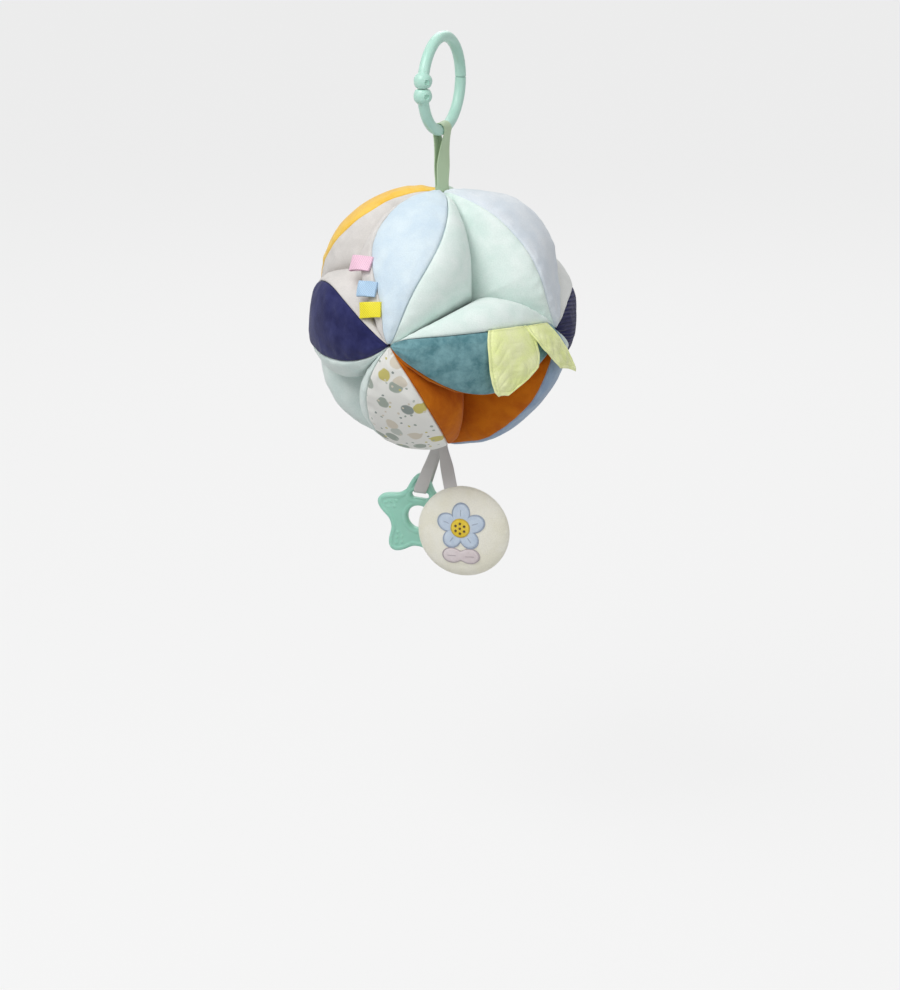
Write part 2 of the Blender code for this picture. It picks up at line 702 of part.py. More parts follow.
def teether_outline():
    """A soft five-pointed star, its first point leaning to the right of straight up."""
    waist = TEETHER_WAIST_RADIUS - TEETHER_RIM_ROUND
    points = []
    for i in range(TEETHER_POINTS):
        turn = 2 * math.pi * i / TEETHER_POINTS
        share = (0.5 + 0.5 * math.cos(5 * turn)) ** TEETHER_POINT_SHARPNESS
        radius = waist + (TEETHER_TIP_RADIUS - TEETHER_WAIST_RADIUS) * share
        points.append((radius * math.sin(turn), radius * math.cos(turn)))
    return points


def rounded_slot(width, height, centre_height, steps=5):
    """A slot with round ends, as the outline of a hole."""
    end = height / 2
    points = []
    for side, start in ((1, 0), (-1, math.pi)):
        for i in range(steps + 1):
            turn = start + math.pi * i / steps
            across = side * (width / 2 - end) + end * math.sin(turn)
            points.append((across, centre_height + end * math.cos(turn)))
    return points


hole = arc(Vector((0, 0)), TEETHER_HOLE_RADIUS + TEETHER_RIM_ROUND, 0, 2 * math.pi, HOLE_STEPS)[:-1]
slot = rounded_slot(TEETHER_SLOT_WIDTH + 2 * TEETHER_RIM_ROUND,
                    TEETHER_SLOT_HEIGHT + 2 * TEETHER_RIM_ROUND, TEETHER_SLOT_RADIUS)
star = bpy.data.curves.new("teether_star", "CURVE")
star.dimensions = "2D"
star.fill_mode = "BOTH"
star.extrude = TEETHER_THICKNESS / 2 - TEETHER_RIM_ROUND
star.bevel_depth = TEETHER_RIM_ROUND
star.bevel_resolution = 1
for outline in (teether_outline(), hole, slot):
    spline = star.splines.new("POLY")
    spline.points.add(len(outline) - 1)
    for place, point in zip(spline.points, outline):
        place.co = (*point, 0, 1)
    spline.use_cyclic_u = True
star_object = curve_to_mesh("teether_star", star, MINT_SILICONE)
star_turn = Matrix.Rotation(TEETHER_LEAN, 4, "Y") @ Matrix.Rotation(QUARTER, 4, "X")
star_frame = Matrix.Translation(TEETHER_CENTRE) @ star_turn
star_object.matrix_world = star_frame


# Teether ribbon, looped through the star's slot

sewn_end("teether_sewn_end", GREY_RIBBON, TEETHER_ROOT, RIGHT, SEWN_PENDANT_WIDTH, UP)
slot_top = star_frame @ Vector((0, TEETHER_SLOT_RADIUS + TEETHER_SLOT_HEIGHT / 2, 0))
ribbon_start = TAB_RADIUS + GAP
ribbon_run = TEETHER_ROOT.z - slot_top.z + 2 * GAP + RIBBON / 2
tip_run = ribbon_run - (TEETHER_TIP_RADIUS - TEETHER_SLOT_RADIUS - TEETHER_SLOT_HEIGHT / 2)
parallel_run = tip_run - TEETHER_SLIP
loop_side = TEETHER_THICKNESS / 2 + GAP + RIBBON / 2
corner = loop_side / 3
teether_path = [Vector((-layer_side, ribbon_start)), Vector((-loop_side, parallel_run))]
teether_path += arc(Vector((-loop_side + corner, ribbon_run - corner)), corner, math.pi, QUARTER, 3)
teether_path += arc(Vector((loop_side - corner, ribbon_run - corner)), corner, QUARTER, 0, 3)
teether_path += [Vector((loop_side, parallel_run)), Vector((layer_side, ribbon_start))]


def teether_place(point, side):
    """The ribbon widens below its sewn end, leans aside to the slot and turns to lie along it."""
    share = point.y / ribbon_run
    side *= mix(SEWN_PENDANT_WIDTH / PENDANT_RIBBON_WIDTH, 1, min(3 * share, 1))
    centre_x = mix(TEETHER_ROOT.x, slot_top.x, share)
    centre_y = mix(TEETHER_ROOT.y, TEETHER_CENTRE.y, min(point.y / parallel_run, 1))
    turn = TEETHER_LEAN * share
    return Vector((centre_x + side * math.cos(turn), centre_y + point.x,
                   TEETHER_ROOT.z - point.y - side * math.sin(turn)))


ribbon_shape = bmesh.new()
ribbon_sides = [PENDANT_RIBBON_WIDTH * share for share in (-0.5, 0, 0.5)]
band(ribbon_shape, teether_path, RIBBON, ribbon_sides, teether_place)
finish_shape("teether_ribbon", ribbon_shape, GREY_RIBBON)


# Disc

disc_turn = Matrix.Rotation(DISC_TURN, 4, "Z") @ Matrix.Rotation(QUARTER, 4, "X")
disc_frame = Matrix.Translation(DISC_CENTRE) @ disc_turn
disc_back_frame = disc_frame @ Matrix.Rotation(math.pi, 4, "Y")
rim_shares = (0, 0.2, 0.38, 0.55, 0.72, 0.86, 0.95, 1)


def dome(radius):
    """Height of the disc's padded face above its seam, at this distance from its middle."""
    share = min(radius / DISC_RADIUS, 1)
    return DISC_HALF_THICKNESS * math.sqrt(1 - share ** 2.4)


def dome_line(shrink):
    """The dome's profile from its middle to its rim, moved inwards by a cloth or a gap."""
    line = []
    for share in rim_shares:
        radius = DISC_RADIUS * share
        line.append(((DISC_RADIUS - shrink) * share, max(dome(radius) - shrink, 0) + GAP / 2))
    return line


cover_profile = dome_line(0) + dome_line(CLOTH)[::-1]
turned("disc_front_cover", CREAM_VELOUR, cover_profile, disc_frame)
turned("disc_back_cover", CREAM_VELOUR, cover_profile, disc_back_frame)

pocket_radius = CAPSULE_RADIUS + GAP
pocket_height = CAPSULE_HALF_HEIGHT + GAP
wadding_profile = dome_line(CLOTH + GAP)
wadding_profile += [(pocket_radius, GAP / 2), (pocket_radius, pocket_height), (0, pocket_height)]
turned("disc_front_wadding", WADDING, wadding_profile, disc_frame)
turned("disc_back_wadding", WADDING, wadding_profile, disc_back_frame)

lid_height = CAPSULE_HALF_HEIGHT - CAPSULE_WALL
inner_radius = CAPSULE_RADIUS - CAPSULE_WALL
cup_floor = -CAPSULE_HALF_HEIGHT + CAPSULE_WALL
cup_rim = lid_height - GAP
cup_profile = [(0, cup_floor), (inner_radius, cup_floor), (inner_radius, cup_rim),
               (CAPSULE_RADIUS, cup_rim), (CAPSULE_RADIUS, -CAPSULE_HALF_HEIGHT),
               (0, -CAPSULE_HALF_HEIGHT)]
turned("rattle_cup", CLEAR_GREY_PLASTIC, cup_profile, disc_frame, 20)
plug_radius = inner_radius - GAP
plug_floor = lid_height - CAPSULE_WALL
lid_profile = [(0, CAPSULE_HALF_HEIGHT), (CAPSULE_RADIUS, CAPSULE_HALF_HEIGHT),
               (CAPSULE_RADIUS, lid_height), (plug_radius, lid_height), (plug_radius, plug_floor),
               (0, plug_floor)]
turned("rattle_lid", CLEAR_GREY_PLASTIC, lid_profile, disc_frame, 20)

bead_circle = inner_radius - BEAD_RADIUS - GAP
bead_step = 2 * math.asin((BEAD_RADIUS + GAP) / bead_circle)
bead_plastic = finish_material("bead plastic", (0.85, 0.85, 0.82), 0.3)
for i in range(BEADS):
    turn = -QUARTER + (i - (BEADS - 1) / 2) * bead_step
    place = disc_frame @ Matrix.Translation((bead_circle * math.cos(turn), bead_circle * math.sin(turn), 0))
    bead_shape = bmesh.new()
    bmesh.ops.create_uvsphere(bead_shape, u_segments=8, v_segments=6, radius=BEAD_RADIUS, matrix=place)
    finish_shape(f"rattle_bead_{i + 1}", bead_shape, bead_plastic)


# Flower on the disc

def felt(name, centre, outline, material, layer):
    """A thin patch that follows the disc's dome, from its outline in the disc's own plane. Layer 0
    lies on the cover, and layer 1 on the patch below it."""
    shape = bmesh.new()
    count = len(outline)
    lift = 2 * GAP + layer * (FELT + GAP)
    rims = []
    for height in (lift, lift + FELT):
        def corner(flat):
            return shape.verts.new(disc_frame @ Vector((flat.x, flat.y, dome(flat.length) + height)))
        middle = corner(centre)
        inner, rim = ([corner(mix(centre, point, share)) for point in outline] for share in (0.5, 1))
        for i in range(count):
            j = (i + 1) % count
            shape.faces.new((middle, inner[i], inner[j]))
            shape.faces.new((inner[i], rim[i], rim[j], inner[j]))
        rims.append(rim)
    for i in range(count):
        j = (i + 1) % count
        shape.faces.new((rims[0][i], rims[1][i], rims[1][j], rims[0][j]))
    finish_shape(name, shape, material)


def lobed(centre, lobes, inner, outer, sharpness, steps):
    """A flat outline round a centre, reaching from inner to outer radius in a number of lobes."""
    points = []
    for i in range(steps):
        turn = 2 * math.pi * i / steps
        reach = mix(inner, outer, abs(math.cos(lobes * turn / 2)) ** sharpness)
        points.append(centre + reach * Vector((math.sin(turn), math.cos(turn))))
    return points


flower = Vector((0, FLOWER_RISE))
leaf_place = flower - Vector((0, FLOWER_RADIUS + FLOWER_LEAF_WIDTH / 2 + GAP))
PALE_BLUE_FELT = finish_material("pale blue felt", (0.60, 0.72, 0.86), 0.9)
YELLOW_FELT = finish_material("yellow felt", (0.90, 0.70, 0.10), 0.9)
LILAC_FELT = finish_material("lilac grey felt", (0.70, 0.64, 0.66), 0.9)
felt("flower_petals", flower, lobed(flower, PETALS, PETAL_NOTCH_RADIUS, FLOWER_RADIUS, 0.8, 12 * PETALS),
     PALE_BLUE_FELT, 0)
felt("flower_centre", flower, lobed(flower, 1, FLOWER_CENTRE_RADIUS, FLOWER_CENTRE_RADIUS, 1, 16),
     YELLOW_FELT, 1)
leaf_outline = lobed(Vector((0, 0)), 2, FLOWER_LEAF_WIDTH / 2, FLOWER_LEAF_LENGTH, 2.5, 28)
felt("flower_leaves", leaf_place, [leaf_place + Vector((point.y, point.x)) for point in leaf_outline],
     LILAC_FELT, 0)


# Disc ribbon, sewn into the disc's seam

sewn_end("disc_sewn_end", GREY_RIBBON, DISC_ROOT, RIGHT, SEWN_PENDANT_WIDTH, UP)
rim_out = Vector((-math.sin(DISC_HANG_ANGLE), math.cos(DISC_HANG_ANGLE), 0))
rim_along = Vector((math.cos(DISC_HANG_ANGLE), math.sin(DISC_HANG_ANGLE), 0))
seam_end = disc_frame @ (rim_out * (DISC_RADIUS + 2 * GAP + TAB_RADIUS))
seam_along = disc_frame.to_3x3() @ rim_along
ribbon_top = DISC_ROOT - UP * ribbon_start
run = seam_end - ribbon_top
down = run.normalized()
disc_sections = []


def ribbon_section(centre, width_axis, width, thickness_share):
    """A flat section of the disc's ribbon."""
    half = width_axis * width / 2
    out = width_axis.cross(down).normalized() * TAB_RADIUS * thickness_share
    disc_sections.append([centre - half - out, centre + half - out, centre + half + out,
                          centre - half + out])


for run_share in (0, 0.3, 1):
    width_axis = mix(RIGHT, seam_along, run_share).normalized()
    width = mix(SEWN_PENDANT_WIDTH, PENDANT_RIBBON_WIDTH, min(3 * run_share, 1))
    ribbon_section(ribbon_top + run * run_share, width_axis, width, 1)
for end_share, thickness_share in ((0.5, 0.86), (0.85, 0.5), (1, 0.15)):
    centre = seam_end + down * TAB_RADIUS * end_share
    ribbon_section(centre, seam_along, PENDANT_RIBBON_WIDTH, thickness_share)
ribbon_shape = bmesh.new()
loft(ribbon_shape, disc_sections)
finish_shape("disc_ribbon", ribbon_shape, GREY_RIBBON)


# Joints: each moving body hangs from an empty that stands on its joint's axis

def carry(name, place, above, pieces):
    """Adds an empty for a body that moves, below the one for the body that carries it."""
    empty = bpy.data.objects.new(name, None)
    empty.empty_display_size = RING_WIRE_RADIUS
    empty.location = place
    collection.objects.link(empty)
    if above is not None:
        empty.parent = above
        empty.matrix_parent_inverse = Matrix.Translation(above["place"]).inverted()
    empty["place"] = place
    for piece in pieces:
        thing = bpy.data.objects[piece]
        thing.parent = empty
        thing.matrix_parent_inverse = Matrix.Translation(place).inverted()
    return empty


ball_pieces = ["strap_sewn_end", "teether_sewn_end", "disc_sewn_end"]
ball_pieces += ["lining_" + name for name in HOLLOWS]
ball_pieces += [kind + pod[0] for pod in PODS for kind in ("panel_", "stuffing_")]
disc_pieces = ["disc_front_cover", "disc_back_cover", "disc_front_wadding", "disc_back_wadding",
               "rattle_cup", "rattle_lid", "flower_petals", "flower_centre", "flower_leaves"]

ring_twist = carry("ring_twist", ring_point(QUARTER), None, ["ring_lower_arc"])
ring_centre = Vector((0, 0, RING_CENTRE_Z))
strap_slide = carry("strap_slide", ring_centre, ring_twist, ["hanger_strap"])
ball_swing = carry("ball_swing", Vector((0, 0, STRAP_PIVOT_Z)), strap_slide, ball_pieces)
for name, root in tag_roots.items():
    carry(name + "_fold", root, ball_swing, [name])
carry("leaf_front_lift", leaf_root(leaf_front_shares), ball_swing, ["leaf_front"])
carry("leaf_side_lift", leaf_root(leaf_side_shares), ball_swing, ["leaf_side"])
teether_swing = carry("teether_swing", TEETHER_ROOT, ball_swing, ["teether_ribbon"])
carry("teether_slip", slot_top, teether_swing, ["teether_star"])
disc_ribbon_swing = carry("disc_ribbon_swing", DISC_ROOT, ball_swing, ["disc_ribbon"])
disc_swing = carry("disc_swing", seam_end, disc_ribbon_swing, disc_pieces)
carry("rattle_shift", DISC_CENTRE, disc_swing, [f"rattle_bead_{i + 1}" for i in range(BEADS)])
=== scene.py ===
import math

import bmesh
import bpy
from mathutils import Matrix, Vector, noise

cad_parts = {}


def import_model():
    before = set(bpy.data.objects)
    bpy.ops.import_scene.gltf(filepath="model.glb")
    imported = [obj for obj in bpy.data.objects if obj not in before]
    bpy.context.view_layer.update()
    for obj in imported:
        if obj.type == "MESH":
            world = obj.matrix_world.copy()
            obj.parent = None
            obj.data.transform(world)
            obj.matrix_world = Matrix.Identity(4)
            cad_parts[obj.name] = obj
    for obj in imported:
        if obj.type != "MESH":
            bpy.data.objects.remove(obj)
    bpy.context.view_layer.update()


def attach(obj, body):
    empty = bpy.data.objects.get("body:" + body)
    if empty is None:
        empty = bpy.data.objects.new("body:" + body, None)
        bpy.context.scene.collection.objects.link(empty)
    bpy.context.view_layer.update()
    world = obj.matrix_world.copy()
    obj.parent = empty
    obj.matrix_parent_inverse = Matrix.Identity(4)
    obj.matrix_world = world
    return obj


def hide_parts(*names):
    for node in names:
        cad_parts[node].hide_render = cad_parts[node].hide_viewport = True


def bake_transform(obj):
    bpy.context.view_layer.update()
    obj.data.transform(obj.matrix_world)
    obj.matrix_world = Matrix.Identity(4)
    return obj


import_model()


# Clip ring. One springy C of satin mint plastic, moulded as a round wire with a knob at each end.
# It is shown as the two arcs that twist apart, with a small moulding dimple in each knob.
RING_RADIUS = 0.0290
RING_CENTRE = Vector((0, 0, -0.0255))
WIRE_RADIUS = 0.0035
KNOB_RADIUS = 0.00575
KNOB_LENGTH = 0.0092
DIMPLE_RADIUS = 0.00175
DIMPLE_WAY = Vector((0.77, -0.64, 0))
KNOB_EDGE = 0.0005
SLIT_TURN = math.radians(-92)
SLIT_HALF = 0.00035 / RING_RADIUS
SPLIT_TURN = math.pi / 2
SPLIT_HALF = 0.00015 / RING_RADIUS
QUARTER = math.pi / 2
UP = Vector((0, 0, 1))
FRONT = Vector((0, -1, 0))
RIGHT = Vector((1, 0, 0))


def ring_point(turn):
    """A place on the middle of the wire: 0 is its lowest point and a quarter turn its back."""
    return RING_CENTRE + RING_RADIUS * Vector((0, math.sin(turn), -math.cos(turn)))


def blend_share(low, high, value):
    """0 below low, 1 above high, and a smooth rise between them."""
    share = clamped((value - low) / (high - low))
    return share * share * (3 - 2 * share)


def clamped(share):
    return min(max(share, 0), 1)


def bell(distance, width):
    """1 at no distance, falling off in a smooth bell of this width."""
    return math.exp(-(distance / width) ** 2)


def screen_colour(red, green, blue):
    """A colour given as it looks on a screen, 0 to 255, turned into the linear values of a shader."""
    return tuple((value / 255) ** 2.2 for value in (red, green, blue)) + (1,)


def new_object(name, data):
    """An object in the scene, from a bmesh, which is used up, or from other data such as a light."""
    if isinstance(data, bmesh.types.BMesh):
        shape, data = data, bpy.data.meshes.new(name)
        shape.to_mesh(data)
        shape.free()
    thing = bpy.data.objects.new(name, data)
    bpy.context.scene.collection.objects.link(thing)
    return thing


def add_piece(name, shape, material, slot, replaced=(), body="ball", subdivided=0):
    """Turns a bmesh into a piece of the toy, smooth shaded, riding on its body."""
    thing = new_object(name, shape)
    thing.data.materials.append(material)
    thing.data.shade_smooth()
    if subdivided:
        rounding = thing.modifiers.new("rounding", "SUBSURF")
        rounding.levels = rounding.render_levels = subdivided
    if body:
        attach(thing, body)
    if replaced:
        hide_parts(*replaced)
    return thing


def set_up(made, **values):
    """Sets a shader node. Names with a capital are its inputs, _0 and on its inputs by number, and the
    others its settings. An input takes a value, or a link: a node and the name of its output."""
    for key, value in values.items():
        if key[0].islower():
            setattr(made, key, value)
            continue
        entry = made.inputs[int(key[1:]) if key[0] == "_" else key.replace("_", " ")]
        if isinstance(value, tuple) and isinstance(value[0], bpy.types.Node):
            made.id_data.links.new(value[0].outputs[value[1]], entry)
        else:
            entry.default_value = value
    return made


def node(tree, kind, **values):
    """Adds a shader node of a kind, or the input or output of a node group, and sets it up."""
    return set_up(tree.nodes.new(kind if kind.startswith("NodeGroup") else "ShaderNode" + kind), **values)


def multiplied(tree, colour, shade):
    """A node that gives a colour times a shade."""
    return node(tree, "Mix", data_type="RGBA", blend_type="MULTIPLY", Factor=1, A=colour, B=shade)


def new_material(name, colour, roughness, **values):
    """A material with a Principled shader, which is also given back, with its node tree."""
    material = bpy.data.materials.new(name)
    material.use_nodes = True
    shader = material.node_tree.nodes["Principled BSDF"]
    set_up(shader, Base_Color=colour, Roughness=roughness, **values)
    return material, material.node_tree, shader


def tone_ramp(tree, source, dark, light):
    """A node that turns a texture's value into a colour between two."""
    tone = node(tree, "ValToRGB", Fac=(source, "Fac"))
    tone.color_ramp.elements[0].color = screen_colour(*dark)
    tone.color_ramp.elements[1].color = screen_colour(*light)
    return tone


def moulded(name, colour, dark, light, clouds, grain, relief, gloss, **values):
    """Moulded plastic or silicone, a little cloudy in its tone and gloss, with a fine mould grain.
    Relief is the grain's strength and depth, and gloss the range of roughness."""
    material, tree, shader = new_material(name, screen_colour(*colour), gloss[0], **values)
    place = node(tree, "TexCoord")
    cloudy = node(tree, "TexNoise", Scale=clouds, Detail=4, Vector=(place, "Object"))
    tone = tone_ramp(tree, cloudy, dark, light)
    mould = node(tree, "TexNoise", Scale=grain, Detail=2, Vector=(place, "Object"))
    skin = node(tree, "Bump", Strength=relief[0], Distance=relief[1], Height=(mould, "Fac"))
    satin = node(tree, "MapRange", To_Min=gloss[0], To_Max=gloss[1], Value=(cloudy, "Fac"))
    set_up(shader, Base_Color=(tone, "Color"), Roughness=(satin, "Result"), Normal=(skin, "Normal"))
    return material


plastic = moulded("mint plastic", (184, 226, 211), (170, 216, 200), (190, 228, 215), 90, 1400,
                  (0.25, 0.00006), (0.3, 0.46), Subsurface_Weight=0.25,
                  Subsurface_Radius=(0.004, 0.005, 0.0045), Coat_Weight=0.15, Coat_Roughness=0.25)


def open_edges(shape):
    return [edge for edge in shape.edges if edge.is_boundary]


def cut_away(piece, shape):
    """Cuts a closed shape out of a piece and keeps the result as its mesh."""
    cutter = new_object("cutter", shape)
    cut = piece.modifiers.new("cut", "BOOLEAN")
    cut.object = cutter
    bpy.context.view_layer.update()
    remaining = bpy.data.meshes.new_from_object(piece.evaluated_get(bpy.context.evaluated_depsgraph_get()))
    piece.modifiers.clear()
    piece.data = remaining
    remaining.set_sharp_from_angle(angle=math.radians(50))
    bpy.data.objects.remove(cutter)


def ring_arc(name, split, slit, body):
    """One arc of the ring, spun from the split at its back to the slit, where its knob swells."""
    shape = bmesh.new()
    across = Matrix.Translation(-UP * RING_RADIUS) @ Matrix.Rotation(QUARTER, 4, "X")
    to_split = Matrix.Translation(RING_CENTRE) @ Matrix.Rotation(split, 4, "X")
    bmesh.ops.create_circle(shape, segments=32, radius=WIRE_RADIUS, matrix=to_split @ across)
    bmesh.ops.spin(shape, geom=shape.verts[:] + shape.edges[:], cent=RING_CENTRE, axis=(1, 0, 0),
                   angle=slit - split, steps=240)
    knob_turn = KNOB_LENGTH / RING_RADIUS
    for vert in shape.verts:
        offset = vert.co - RING_CENTRE
        turn = math.atan2(offset.y, -offset.z)
        if slit > 0 and turn < 0:
            turn += math.tau
        share = 1 - abs(turn - slit) / knob_turn
        if share > 0:
            bulge = 0.86 if share < 0.5 else 0.5
            swell = max(KNOB_RADIUS / WIRE_RADIUS * math.sqrt(1 - bulge * (2 * share - 1) ** 2), 1)
            middle = ring_point(turn)
            vert.co = middle + (vert.co - middle) * swell
    caps = bmesh.ops.holes_fill(shape, edges=open_edges(shape), sides=0)["faces"]
    rims = [edge for face in caps for edge in face.edges]
    bmesh.ops.bevel(shape, geom=rims, offset=KNOB_EDGE, segments=3, profile=0.5, affect="EDGES", material=-1)
    bmesh.ops.recalc_face_normals(shape, faces=shape.faces)
    arc = add_piece(name + "_piece", shape, plastic, "mint_plastic", [name], body)

    dimple = bmesh.new()
    dimple_place = ring_point(slit + (knob_turn if split > slit else -knob_turn) * 0.45)
    hollow_at = Matrix.Translation(dimple_place + DIMPLE_WAY * KNOB_RADIUS)
    bmesh.ops.create_uvsphere(dimple, u_segments=20, v_segments=12, radius=DIMPLE_RADIUS, matrix=hollow_at)
    cut_away(arc, dimple)


ring_arc("ring_lower_arc", SPLIT_TURN - SPLIT_HALF, SLIT_TURN + SLIT_HALF, "ring_lower")
ring_arc("ring_upper_arc", SPLIT_TURN + SPLIT_HALF, SLIT_TURN + math.tau - SLIT_HALF, "ring_upper")


# Hanger strap. One length of sage green woven ribbon, looped over the ring's lowest point, its two
# layers laid together and sewn into the top of the ball.
STRAP_WIDTH = 0.0108
STRAP_THICKNESS = 0.0007
STRAP_PIVOT = Vector((0, 0, -0.0884))
STRAP_FOOT = STRAP_PIVOT.z - 0.0085
STRAP_TWIST = math.radians(-22)
WIRE_CLEARANCE = 0.0004


def cloth_group(name, entries):
    """A node group with these inputs, numbers or colours, that gives a colour and a height.
    Returns the group and the nodes of its input and its output."""
    group = bpy.data.node_groups.new(name, "ShaderNodeTree")
    for entry, value in entries.items():
        kind = "NodeSocketColor" if isinstance(value, tuple) else "NodeSocketFloat"
        group.interface.new_socket(entry, in_out="INPUT", socket_type=kind).default_value = value
    group.interface.new_socket("Colour", in_out="OUTPUT", socket_type="NodeSocketColor")
    group.interface.new_socket("Height", in_out="OUTPUT", socket_type="NodeSocketFloat")
    return group, node(group, "NodeGroupInput"), node(group, "NodeGroupOutput")


WHITE = (1, 1, 1, 1)


def weave_group():
    """Ribbon weave from a UV map in metres: the colour with painted shade where the threads dip at their
    crossings, and a height for their bumps.
    """
    group, given, result = cloth_group("ribbon weave", {"Colour": WHITE, "Threads per metre": 2600})
    uv = node(group, "UVMap", uv_map="cloth")
    scaled = node(group, "VectorMath", operation="SCALE", _0=(uv, "UV"), Scale=(given, "Threads per metre"))
    across = node(group, "SeparateXYZ", Vector=(scaled, "Vector"))
    warp = node(group, "Math", operation="SINE", _0=(across, "X"))
    weft = node(group, "Math", operation="SINE", _0=(across, "Y"))
    crossing = node(group, "Math", operation="MULTIPLY", _0=(warp, "Value"), _1=(weft, "Value"))
    level = node(group, "MapRange", From_Min=-1, From_Max=1, Value=(crossing, "Value"))
    # Painted shade where the weave dips, and a little painted light where it rises, from the same crossings
    # as the height. The slub tone below is random.
    shade = node(group, "MapRange", From_Min=-1, From_Max=1, To_Min=0.72, To_Max=1.06,
                 Value=(crossing, "Value"))
    slub = node(group, "TexNoise", Scale=900, Detail=3, Vector=(uv, "UV"))
    slub_shade = node(group, "MapRange", To_Min=0.86, To_Max=1.12, Value=(slub, "Fac"))
    weave_shade_and_slub = node(group, "Math", operation="MULTIPLY", _0=(shade, "Result"), _1=(slub_shade, "Result"))
    tint = multiplied(group, (given, "Colour"), (weave_shade_and_slub, "Value"))
    set_up(result, Colour=(tint, "Result"), Height=(level, "Result"))
    return group


WEAVE = weave_group()


def ribbon_material(name, colour, roughness, threads, sheen):
    """Woven ribbon in one colour, from glossy satin to plain tape."""
    colour = screen_colour(*colour)
    material, tree, shader = new_material(name, colour, roughness, Sheen_Weight=sheen, Sheen_Roughness=0.35,
                                          Anisotropic=0.3)
    weave = node(tree, "Group", node_tree=WEAVE, Colour=colour, Threads_per_metre=threads)
    bump = node(tree, "Bump", Strength=0.5, Distance=0.00012, Height=(weave, "Height"))
    set_up(shader, Base_Color=(weave, "Colour"), Normal=(bump, "Normal"))
    return material


def close_up(shape, weld=2e-6, ends=False):
    """Welds a grid where its edges meet, fills its open ends if asked, and turns its faces outwards."""
    bmesh.ops.remove_doubles(shape, verts=shape.verts, dist=weld)
    if ends:
        bmesh.ops.holes_fill(shape, edges=open_edges(shape), sides=0)
    bmesh.ops.recalc_face_normals(shape, faces=shape.faces)


def laid_grid(shape, along_steps, across_steps):
    """Adds a flat grid, and gives where each of its points is along and across it, from 0 to 1."""
    added = bmesh.ops.create_grid(shape, x_segments=along_steps, y_segments=across_steps, size=0.5)["verts"]
    return {vert: (vert.co.x + 0.5, vert.co.y + 0.5) for vert in added}


def map_cloth(shape, places):
    """Gives a shape its UV map in metres, from each point's place on the cloth."""
    map_layer = shape.loops.layers.uv.get("cloth") or shape.loops.layers.uv.new("cloth")
    for vert, place in places.items():
        for loop in vert.link_loops:
            loop[map_layer].uv = place


def ribbon(steps, width, thickness, place):
    """A ribbon laid along a path, its two faces joined by rounded woven edges.
    place(along, side) gives the world point of a share of the path and a share of the width."""
    shape = bmesh.new()
    length = sum((place((i + 1) / 40, 0) - place(i / 40, 0)).length for i in range(40))
    cloth_places = {}
    for vert, (along, around) in laid_grid(shape, steps, 24).items():
        way = (math.cos(math.tau * around), math.sin(math.tau * around))
        side, lift = (math.copysign(abs(share) ** 0.4, share) / 2 for share in way)
        cloth_places[vert] = (along * length, side * width)
        run = place(min(along + 0.003, 1), side) - place(max(along - 0.003, 0), side)
        over = place(along, side + 0.02) - place(along, side - 0.02)
        vert.co = place(along, side) + run.cross(over).normalized() * lift * thickness
    map_cloth(shape, cloth_places)
    close_up(shape, ends=True)
    return shape


strap_material = ribbon_material("sage ribbon", (198, 222, 184), 0.62, 5200, 0.25)
loop_radius = WIRE_RADIUS + WIRE_CLEARANCE + STRAP_THICKNESS / 2
loop_middle = RING_CENTRE.z - RING_RADIUS
strap_run = loop_middle - STRAP_FOOT
strap_lean = math.atan2(loop_radius - STRAP_THICKNESS * 0.7, loop_middle - STRAP_PIVOT.z)
loop_run = (QUARTER + strap_lean) * loop_radius
straight_share = 0.5 - 0.5 * loop_run / (strap_run + QUARTER * loop_radius)


def strap_place(along, side):
    """Up from the ball, round the wire, and down again, saddled over the wire at the loop."""
    half = along if along < 0.5 else 1 - along
    sign = 1 if along < 0.5 else -1
    if half < straight_share:
        share = half / straight_share
        foot = Vector((STRAP_THICKNESS * 0.6, STRAP_FOOT))
        top = Vector((loop_radius * math.cos(strap_lean), loop_middle - loop_radius * math.sin(strap_lean)))
        point = foot.lerp(top, share)
        point.x = foot.x + (top.x - foot.x) * share ** 3.4 + 0.0005 * math.sin(math.pi * share)
    else:
        share = (half - straight_share) / (0.5 - straight_share)
        turn = -strap_lean + (QUARTER + strap_lean) * share
        point = Vector((loop_radius * math.cos(turn), loop_middle + loop_radius * math.sin(turn)))
    across = side * STRAP_WIDTH
    near_wire = blend_share(STRAP_PIVOT.z, loop_middle, point.y)
    lift = (RING_RADIUS - math.sqrt(RING_RADIUS ** 2 - across ** 2)) * near_wire
    ripple = 0.00025 * math.sin(along * 31 + side * 4) * (1 - near_wire)
    twist = STRAP_TWIST * (1 - blend_share(loop_middle - 0.024, loop_middle - 0.001, point.y))
    return Matrix.Rotation(twist, 3, "Z") @ Vector((sign * point.x + ripple, across, point.y + lift))


strap_shape = ribbon(96, STRAP_WIDTH, STRAP_THICKNESS, strap_place)
strap = add_piece("hanger_strap_piece", strap_shape, strap_material, "sage_ribbon",
                  ["hanger_strap", "strap_sewn_end"], None)
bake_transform(strap)


# Ball. Twelve stuffed pods, each with an outer panel and two sides that swell against the pods next
# to it. The cloths are sewn inside out, so each seam is a clean groove with small puckers.
BALL_CENTRE = Vector((0, 0, -0.1753))
BALL_RADIUS = 0.0850
VERTEX_RADIUS = 0.0837
PANEL_HALF_WIDTH = 0.0230
PANEL_CROWN = 0.0009
SEAM_DIP = 0.0009
TIP_DIP = 0.0013
LUMPS = 0.0011
PUCKERS = 0.0010
PUCKER_REACH = 0.003
TIP_PULL = 0.0016
TIP_FOLDS = 0.00045
SIDE_LEAN = math.radians(14)
ROLL_SHARES = {
    "top_right": -0.41, "top_left": 0.35, "front_right": -0.41, "front_left": 0.28,
    "right_bottom": -0.43, "right_back": -0.35,
}
NARROWING_SHARES = {("top_front", 1): (1.3, 4), ("top_front", -1): (3.6, 6), ("front_right", 1): (0.65, 3)}
SEAM_DROPS = {("front_right", 1): 1.25}
ROLLED_OVER_LEAN = 4.2
